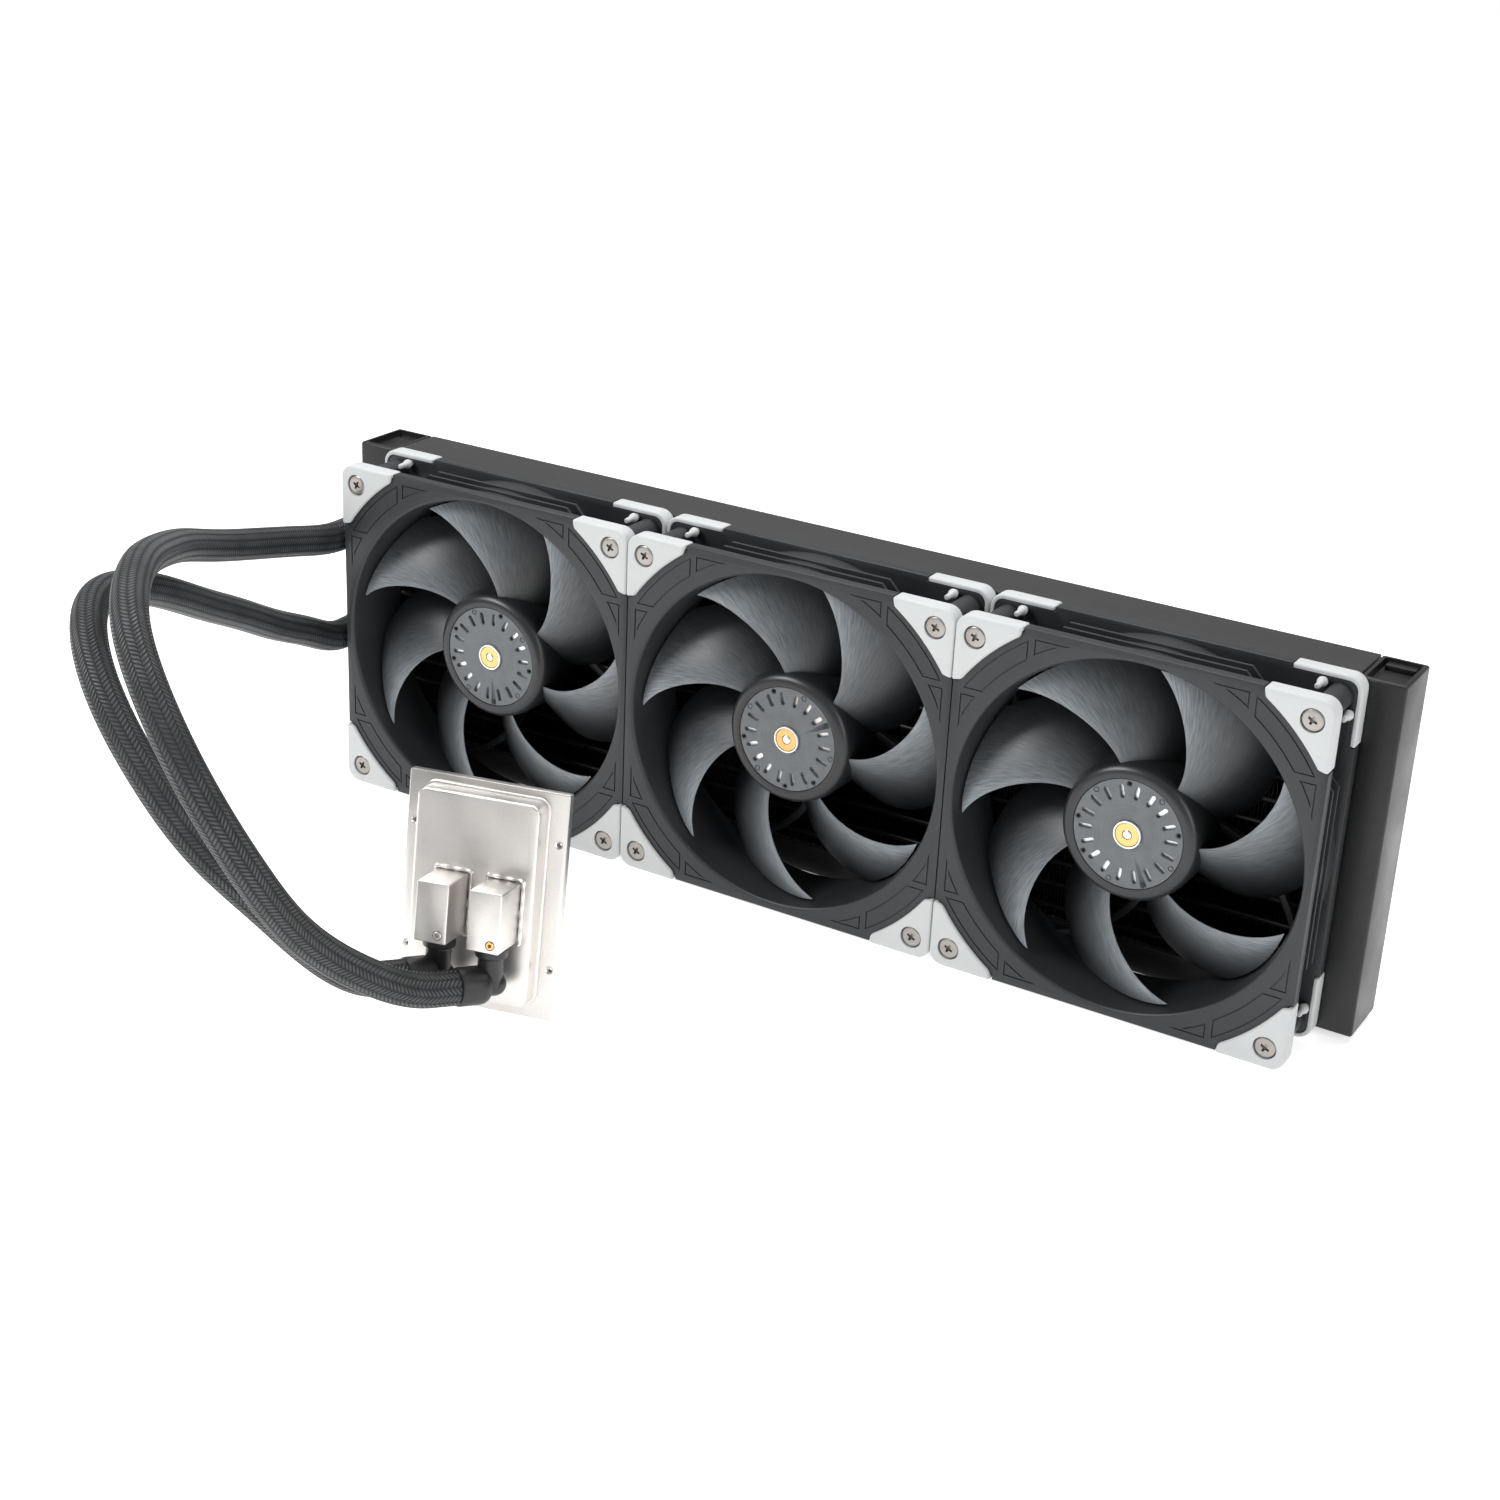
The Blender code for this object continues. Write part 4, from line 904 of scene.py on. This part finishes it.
def add_fans(look):
    on_each_fan("housing", housing(), look["frame"], "frame")
    on_each_fan("motor_mount", motor_mount(), look["frame"])
    on_each_fan("blades", blades(), look["blade"], "impeller", moving=True, crease_deg=50)
    on_each_fan("hub", hub(), look["hub"], moving=True)
    yoke = turned([(0, 7.45), (23.8, 7.45), (23.9, 24), (22.4, 24), (22.4, 9.6), (1.5, 9.6),
                   (1.5, 27.9), (0, 28.1)], 96)
    on_each_fan("yoke", yoke, look["steel"], "rotor", moving=True)
    ring = turned([(4.55, 5.6), (4.7, 5.15), (5.2, 5.15), (5.4, 5.5), (5.4, 8.3), (4.55, 8.3)], 64)
    on_each_fan("bushing_ring", ring, look["steel"], moving=True)
    bush = turned([(1.75, 5.7), (1.9, 5.4), (4.3, 5.35), (4.5, 5.6), (4.5, 8.3), (1.75, 8.3)], 64)
    on_each_fan("bushing", bush, look["brass"], moving=True)
    pin = turned([(0, 5.2), (1.3, 5.2), (1.65, 5.45), (1.65, 8.3), (0, 8.3)], 48)
    on_each_fan("shaft_end", pin, look["steel"], moving=True)
    for corner, sx, sz in (("tl", -1, 1), ("tr", 1, 1), ("bl", -1, -1), ("br", 1, -1)):
        front = pad(sx, sz, (PAD_FRONT_Y, PAD_FRONT_Y + PAD_PLATE + 0.2),
                    (PAD_FRONT_Y, PAD_FRONT_Y + PAD_WRAP),
                    SCREW_HEAD_RADIUS + 0.4)
        on_each_fan(f"front_pad_{corner}", front, look["pad"], f"pad_{corner}")
        rear = pad(sx, sz, (FRAME_REAR_Y + 0.1, REAR_PAD_Y[1]), REAR_PAD_Y, SCREW_HOLE_RADIUS)
        on_each_fan(f"rear_pad_{corner}", rear, look["pad"])
        on_each_fan(f"pad_pins_{corner}", pad_pins(sx, sz), look["pad"])
        bolt = moved(screw(), sx * HOLE_OFFSET, 0, sz * HOLE_OFFSET)
        on_each_fan(f"fan_screw_{corner}", bolt, look["screw"], f"screw_{corner}")


# ==== Radiator ====


def node_limits(node):
    """A CAD node's box in script millimetres, as three (low, high) pairs."""
    low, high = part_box(node)
    return [((low[axis] - SHIFT[axis]) / MM, (high[axis] - SHIFT[axis]) / MM) for axis in range(3)]


def tank(node, core_side):
    x, y, z = node_limits(node)
    body = bevelled(box(x, y, z), 1.0, 3)
    pocket = bevelled(box((x[0] + 1.8, x[1] - 1.8), (y[0] + 2.0, y[1] - 2.0),
                          (z[1] - 3.0, z[1] + 4)), 0.8, 2)
    body = cut(body, pocket)
    if core_side < 0:
        lip = bevelled(box((x[0] + 3, x[1] - 3), (y[1] - 6.5, y[1] - 2.2),
                           (z[1] - 3.5, z[1] - 1.0)), 0.4)
        body = joined(body, lip)
    return body


def side_plate(node, upwards):
    """The channel beside the core: web outside, two flanges with the screw holes."""
    x, y, z = node_limits(node)
    body = bevelled(box(x, y, z), 0.5, 3)
    room = (z[0] - 1, z[1] - 1.2) if upwards else (z[0] + 1.2, z[1] + 1)
    body = cut(body, box((x[0] - 1, x[1] + 1), (y[0] + 1.2, y[1] - 1.2), room))
    level = FAN_HALF + (HOLE_OFFSET if upwards else -HOLE_OFFSET)
    for centre in FAN_CENTRES:
        for side in (-1, 1):
            hole = cylinder(2.25, y[0] - 1, y[1] + 1, 24)
            body = cut(body, moved(hole, centre.x + side * HOLE_OFFSET, 0, level))
    return body


def core_tubes(x, y, z):
    """Header plates and flat tubes with round noses."""
    pitch = (z[1] - z[0]) / TUBE_COUNT
    half = TUBE_HEIGHT / 2
    tubes = []
    for index in range(TUBE_COUNT):
        level = z[0] + pitch * (index + 0.5)
        outline = [(y[0] + 0.4 + half - half * cos(a), level + half * sin(a))
                   for a in np.linspace(-pi / 2, pi / 2, 7)]
        outline += [(y[1] - 0.4 - half + half * cos(a), level + half * sin(a))
                    for a in np.linspace(pi / 2, -pi / 2, 7)]
        tubes.append(between_rims("tube", [(px, py, pz) for px in x for py, pz in outline]))
    headers = [box((low, low + 1.5), y, z) for low in (x[0], x[1] - 1.5)]
    return joined(*tubes, *headers)


def core_fins(x, y, z):
    """Folded fins between the tubes: thin upright sheets that lean in turn, as a zigzag does."""
    pitch = (z[1] - z[0]) / TUBE_COUNT
    half = TUBE_HEIGHT / 2
    bounds = [z[0]] + [z[0] + pitch * (index + 0.5) for index in range(TUBE_COUNT)] + [z[1]]
    points = []
    faces = []
    count = int((x[1] - x[0] - 4) / FIN_PITCH)
    for row, (below, above) in enumerate(zip(bounds, bounds[1:])):
        low = below + (half if row else 0.1)
        high = above - (half if row < TUBE_COUNT else 0.1)
        for index in range(count):
            at = x[0] + 2 + FIN_PITCH * index
            lean = 0.32 if index % 2 else -0.32
            start = len(points)
            for shift in (0, FIN_THICKNESS):
                for level, side in ((low, -lean), (high, lean)):
                    for depth in (y[0] + 1.0, y[1] - 1.0):
                        points.append((at + side + shift, depth, level))
            faces += [tuple(start + i for i in face) for face in BOX_FACES]
    mesh = bpy.data.meshes.new("fins")
    mesh.from_pydata(points, [], faces)
    return linked("fins", mesh)


def add_radiator(look):
    for node, core_side in (("port_tank", 1), ("far_tank", -1)):
        piece(f"{node}_shell", tank(node, core_side), look["black"], replaces=(node,))
    for level, upwards in (("top", True), ("bottom", False)):
        node = f"{level}_side_plate"
        piece(f"{level}_channel", side_plate(node, upwards), look["channel"], replaces=(node,))
    limits = node_limits("radiator_core")
    piece("core_tubes", core_tubes(*limits), look["fin"], replaces=("radiator_core",))
    piece("core_fins", core_fins(*limits), look["fin"], crease_deg=20)
    for side in ("upper", "lower"):
        x, y, z = node_limits(f"{side}_port_fitting")
        collar = turned([(radius, y[0] + offset) for radius, offset in COLLAR_PROFILE], 48)
        centre = (sum(x) / 2, 0, sum(z) / 2)
        piece(f"{side}_port_collar", moved(collar, *centre), look["elbow"],
              replaces=(f"{side}_port_fitting",))


# ==== Hoses ====


def ferrule(low, high):
    """Smooth crimped sleeve with rolled edges."""
    start = arc(FERRULE_ROLL, 180, 90, 4)
    flat = FERRULE_RADIUS - FERRULE_ROLL
    front = [(flat + z, low + FERRULE_ROLL + x) for x, z in start]
    back = [(flat + z, high - FERRULE_ROLL - x) for x, z in reversed(start)]
    return turned([(0, low), *front, *back, (0, high)], 64)


def shouldered_ferrule(high):
    """The sleeve at the block's end, which narrows in a smooth shoulder on to the elbow."""
    rim = [(FERRULE_RADIUS, high - 0.8), (FERRULE_RADIUS - 0.2, high - 0.2),
           (FERRULE_RADIUS - 0.6, high)]
    return turned([*FERRULE_SHOULDER, (FERRULE_RADIUS, 5.0), *rim, (0, high)], 64)


def elbow_direction():
    turn = radians(ELBOW_TURN_DEG)
    return Vector((-cos(turn), 0, sin(turn)))


def band_faces(rows, sides, closed=False):
    """The faces between neighbouring rings of points along a path."""
    faces = []
    for row in range(rows if closed else rows - 1):
        near, far = row * sides, (row + 1) % rows * sides
        for side in range(sides):
            after = (side + 1) % sides
            faces.append((near + side, near + after, far + after, far + side))
    return faces


def travelled(points):
    """The distance along a path at each of its points."""
    steps = np.linalg.norm(np.diff(points, axis=0), axis=1)
    return np.concatenate(([0.0], np.cumsum(steps)))


def smooth_route(route, start_direction, end_direction, spacing):
    """Evenly spaced points on the cubic spline through a route whose ends are short straights."""
    points = np.array(route, float)
    first = points[0].copy()
    last = points[-1].copy()
    points[0] += HOSE_STRAIGHT * np.array(start_direction)
    points[-1] -= HOSE_STRAIGHT * np.array(end_direction)
    spans = np.linalg.norm(np.diff(points, axis=0), axis=1)
    knots = np.concatenate(([0.0], np.cumsum(spans)))
    count = len(points)
    matrix = np.zeros((count, count))
    right = np.zeros((count, 3))
    matrix[0, 0] = 1
    matrix[-1, -1] = 1
    right[0] = start_direction
    right[-1] = end_direction
    for i in range(1, count - 1):
        before = spans[i - 1]
        after = spans[i]
        matrix[i, i - 1:i + 2] = (after, 2 * (before + after), before)
        right[i] = 3 * (after * (points[i] - points[i - 1]) / before + before
                        * (points[i + 1] - points[i]) / after)
    slopes = np.linalg.solve(matrix, right)
    fine = np.linspace(0, knots[-1], 2000)
    which = np.clip(np.searchsorted(knots, fine, side="right") - 1, 0, count - 2)
    span = spans[which][:, None]
    t = ((fine - knots[which]) / spans[which])[:, None]
    curve = ((1 + 2 * t) * (1 - t) ** 2 * points[which] + t * (1 - t) ** 2 * span * slopes[which]
             + t ** 2 * (3 - 2 * t) * points[which + 1] - t ** 2 * (1 - t) * span * slopes[which
                     + 1])
    lengths = travelled(curve)
    wanted = np.linspace(0, lengths[-1], max(2, round(lengths[-1] / spacing) + 1))
    inner = np.stack([np.interp(wanted, lengths, curve[:, axis]) for axis in range(3)], axis=1)
    return np.vstack((first, inner, last))


def hose_tube(path):
    """A round tube along the path, with u round it and v in centimetres along it."""
    sides = HOSE_SIDES
    radius = HOSE_DIAMETER / 2
    tangents = np.gradient(path, axis=0)
    tangents /= np.linalg.norm(tangents, axis=1, keepdims=True)
    normal = np.cross(tangents[0], (0, 0, 1.0))
    normals = []
    for tangent in tangents:
        normal = normal - tangent * np.dot(normal, tangent)
        normal /= np.linalg.norm(normal)
        normals.append(normal.copy())
    normals = np.array(normals)
    others = np.cross(tangents, normals)
    angles = np.linspace(0, 2 * pi, sides, endpoint=False)
    rings = (path[:, None, :] + radius * (np.cos(angles)[None, :, None] * normals[:, None, :]
                                          + np.sin(angles)[None, :, None] * others[:, None, :]))
    points = rings.reshape(-1, 3)
    rows = len(path)
    faces = band_faces(rows, sides)
    faces.append(tuple(range(sides)))
    faces.append(tuple(range(rows * sides - 1, (rows - 1) * sides - 1, -1)))
    mesh = bpy.data.meshes.new("hose")
    mesh.from_pydata([tuple(p) for p in points], [], faces)
    along = travelled(path) / 10
    uv = mesh.uv_layers.new(name="UVMap")
    loop = 0
    for row in range(rows - 1):
        for side in range(sides):
            for u, v in ((side, row), (side + 1, row), (side + 1, row + 1), (side, row + 1)):
                uv.data[loop].uv = (u / sides, along[v])
                loop += 1
    work = bmesh.new()
    work.from_mesh(mesh)
    bmesh.ops.recalc_face_normals(work, faces=work.faces)
    work.to_mesh(mesh)
    work.free()
    return linked("hose", mesh)


def add_hoses(look):
    end = -(BLOCK_MATRIX.to_3x3() @ elbow_direction())
    for side, route, centre_x in (("upper", UPPER_ROUTE, PORT_BOX_CENTRES_X[1]),
                                  ("lower", LOWER_ROUTE, PORT_BOX_CENTRES_X[0])):
        path = smooth_route(route, (0, -1, 0), end, ROUTE_STEP)
        made = piece(f"{side}_braided_hose", hose_tube(path), look["braid"],
                     replaces=(f"{side}_hose",), crease_deg=60)
        x, y, z = node_limits(f"{side}_radiator_ferrule")
        sleeve = moved(ferrule(*y), sum(x) / 2, 0, sum(z) / 2)
        near = piece(f"{side}_radiator_sleeve", sleeve, look["elbow"],
                     replaces=(f"{side}_radiator_ferrule",))
        sleeve = aimed(shouldered_ferrule(BLOCK_FERRULE_LENGTH), elbow_direction(),
                       Vector((centre_x, *ELBOW_AXIS)))
        far = block_piece(f"{side}_block_sleeve", sleeve, look["elbow"], (f"{side}_block_ferrule",))


# ==== Cooling block ====


def flat_block(x, y, d, radius, steps=6):
    """A block with round corners in the plate's plane."""
    outline = []
    left, right = x[0] + radius, x[1] - radius
    low, high = y[0] + radius, y[1] - radius
    centres = ((right, high), (left, high), (left, low), (right, low))
    for quarter, (cx, cy) in enumerate(centres):
        outline += arc(radius, 90 * quarter, 90 * quarter + 90, steps, (cx, cy))
    return between_rims("flat_block", [(px, py, level) for level in d for px, py in outline])


def outwards(made, x, y, d):
    """Stands a shape that was turned about y on the block, with its +y out of the plate."""
    return placed(made, Matrix.Translation((x, y, d)) @ Matrix.Rotation(radians(90), 4, "X"))


def aimed(made, direction, place):
    turn = Vector((0, 1, 0)).rotation_difference(direction).to_matrix().to_4x4()
    return placed(made, Matrix.Translation(place) @ turn)


def block_piece(name, made, look, replaces=(), crease_deg=35.0):
    return piece(name, placed(made, BLOCK_MATRIX), look, replaces=replaces, crease_deg=crease_deg)


def mounting_plate():
    body = bevelled(flat_block((0, PLATE_WIDTH), (0, PLATE_HEIGHT), (-PLATE_THICKNESS, 0), 0.6, 3),
                    0.3, 2)
    for sx in (-1, 1):
        for sy in (-1, 1):
            x = PLATE_WIDTH / 2 + sx * PLATE_HOLE_SPACING[0] / 2
            y = PLATE_HOLE_CENTRE_Y + sy * PLATE_HOLE_SPACING[1] / 2
            hole = turned([(0, -8), (1.0, -8), (1.0, -0.5), (1.55, 0.05), (1.55, 1), (0, 1)], 32)
            body = cut(body, outwards(hole, x, y, 0))
    window = flat_block(WINDOW_X, WINDOW_Y, (-PLATE_THICKNESS - 1, 1), 1.0)
    return cut(body, window)


def bead(x, y, d, radius):
    """A rounded braze bead round a port box's foot, slightly uneven as poured metal is."""
    corners = []
    for quarter, (cx, cy) in enumerate(((x[1], y[1]), (x[0], y[1]), (x[0], y[0]), (x[1], y[0]))):
        corners += arc(0.8, 90 * quarter, 90 * quarter + 90, 4, (cx, cy))
    path = []
    for (ax, ay), (bx, by) in zip(corners, corners[1:] + corners[:1]):
        steps = max(1, int(hypot(bx - ax, by - ay) / BEAD_STEP))
        path += [(ax + (bx - ax) * i / steps, ay + (by - ay) * i / steps) for i in range(steps)]
    centre = (sum(x) / 2, sum(y) / 2)
    sides = BEAD_SIDES
    points = []
    for index, (px, py) in enumerate(path):
        ahead = path[(index + 1) % len(path)]
        behind = path[index - 1]
        along = Vector((ahead[0] - behind[0], ahead[1] - behind[1], 0)).normalized()
        out = Vector((along.y, -along.x, 0))
        if out.dot(Vector((px - centre[0], py - centre[1], 0))) < 0:
            out = -out
        size = radius * (1 + 0.14 * sin(index * 0.9) + 0.1 * sin(index * 0.37 + 1))
        for side in range(sides):
            angle = 2 * pi * side / sides
            points.append(Vector((px, py, d)) + out * size * cos(angle) + Vector((0, 0, 1)) * size
                          * sin(angle))
    return shape("bead", points, band_faces(len(path), sides, closed=True))


def elbow(centre_x):
    """Elbow under a port box: collar, stub, barrel with a round end, and the outlet's shoulder."""
    centre = Vector((centre_x, ELBOW_AXIS[0], ELBOW_AXIS[1]))
    top = PORT_BOX_Y[0] - ELBOW_AXIS[0] - 0.3
    stub = turned([(0, 0), (4.5, 0), (4.5, top - 4.0), (4.9, top - 3.4), (5.6, top - 3.1),
                   (5.8, top - 2.7), (5.8, top - 0.3),
                   (5.5, top), (0, top)], 48)
    ball = arc(4.3, 180, 95, 8)
    barrel = turned([(0, -6.3), *[(z, -2.0 + x) for x, z in ball[1:]], (4.3, 0.6), (4.6, 1.0),
                     (4.6, 4.0), (0, 4.0)], 48)
    return joined(placed(stub, Matrix.Translation(centre)),
                  aimed(barrel, elbow_direction(), centre))


def at_plug(made, centre_x):
    x = centre_x + PORT_BOX_WIDTH / 2 - PLUG_INSET[0]
    return outwards(made, x, PORT_BOX_Y[0] + PLUG_INSET[1], PORT_BOX_TOP)


def plug(centre_x):
    """Round closing plug with a hexagon socket."""
    body = turned([(0, -3), (1.5, -3), (1.5, 0.1), (1.3, 0.3), (0, 0.3)], 32)
    body = cut(body, cylinder(0.75, -1.2, 1, 6))
    return at_plug(body, centre_x)


def add_block(look):
    block_piece("block_plate", mounting_plate(), look["nickel"], ("mounting_plate",))
    step_x, step_y = ((low - HOUSING_STEP, high + HOUSING_STEP)
                      for low, high in (HOUSING_X, HOUSING_Y))
    step = bevelled(flat_block(step_x, step_y, (0.0, HOUSING_STEP_HEIGHT), 4.6), 0.5, 3)
    body = bevelled(flat_block(HOUSING_X, HOUSING_Y, (0.5, HOUSING_HEIGHT), 3.6), 0.9, 4)
    block_piece("block_shell", body, look["nickel"], ("block_housing",))
    block_piece("block_shell_step", step, look["nickel"])
    cold = bevelled(flat_block(COLD_BASE_X, COLD_BASE_Y, (-COLD_BASE_DEPTH, 0), 0.8), 0.3)
    block_piece("cold_base", cold, look["copper"], ("cold_plate",))
    for side, centre_x in zip(("left", "right"), PORT_BOX_CENTRES_X):
        x = (centre_x - PORT_BOX_WIDTH / 2, centre_x + PORT_BOX_WIDTH / 2)
        cube = bevelled(flat_block(x, PORT_BOX_Y, (HOUSING_HEIGHT - 0.5, PORT_BOX_TOP), 0.5, 3),
                        0.45, 3)
        well = turned([(0, -3.4), (1.75, -3.4), (1.75, 1), (0, 1)], 32)
        cube = cut(cube, at_plug(well, centre_x))
        block_piece(f"{side}_box", cube, look["nickel"], (f"{side}_port_box",))
        block_piece(f"{side}_braze", bead(x, PORT_BOX_Y, HOUSING_HEIGHT + 0.1, BEAD_RADIUS),
                    look["nickel"], crease_deg=80)
        metal = look["brass" if side == "right" else "nickel"]
        block_piece(f"{side}_box_plug", plug(centre_x), metal, (f"{side}_plug",))
        block_piece(f"{side}_swivel", elbow(centre_x), look["elbow"], (f"{side}_elbow",))


def finish_stators(look):
    for index in (1, 2, 3):
        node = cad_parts[f"fan_{index}_stator"]
        node.data.materials.clear()
        node.data.materials.append(look["copper"])


add_camera()
LOOK = looks()
add_hoses(LOOK)
add_studio()
add_fans(LOOK)
add_radiator(LOOK)
add_block(LOOK)
finish_stators(LOOK)
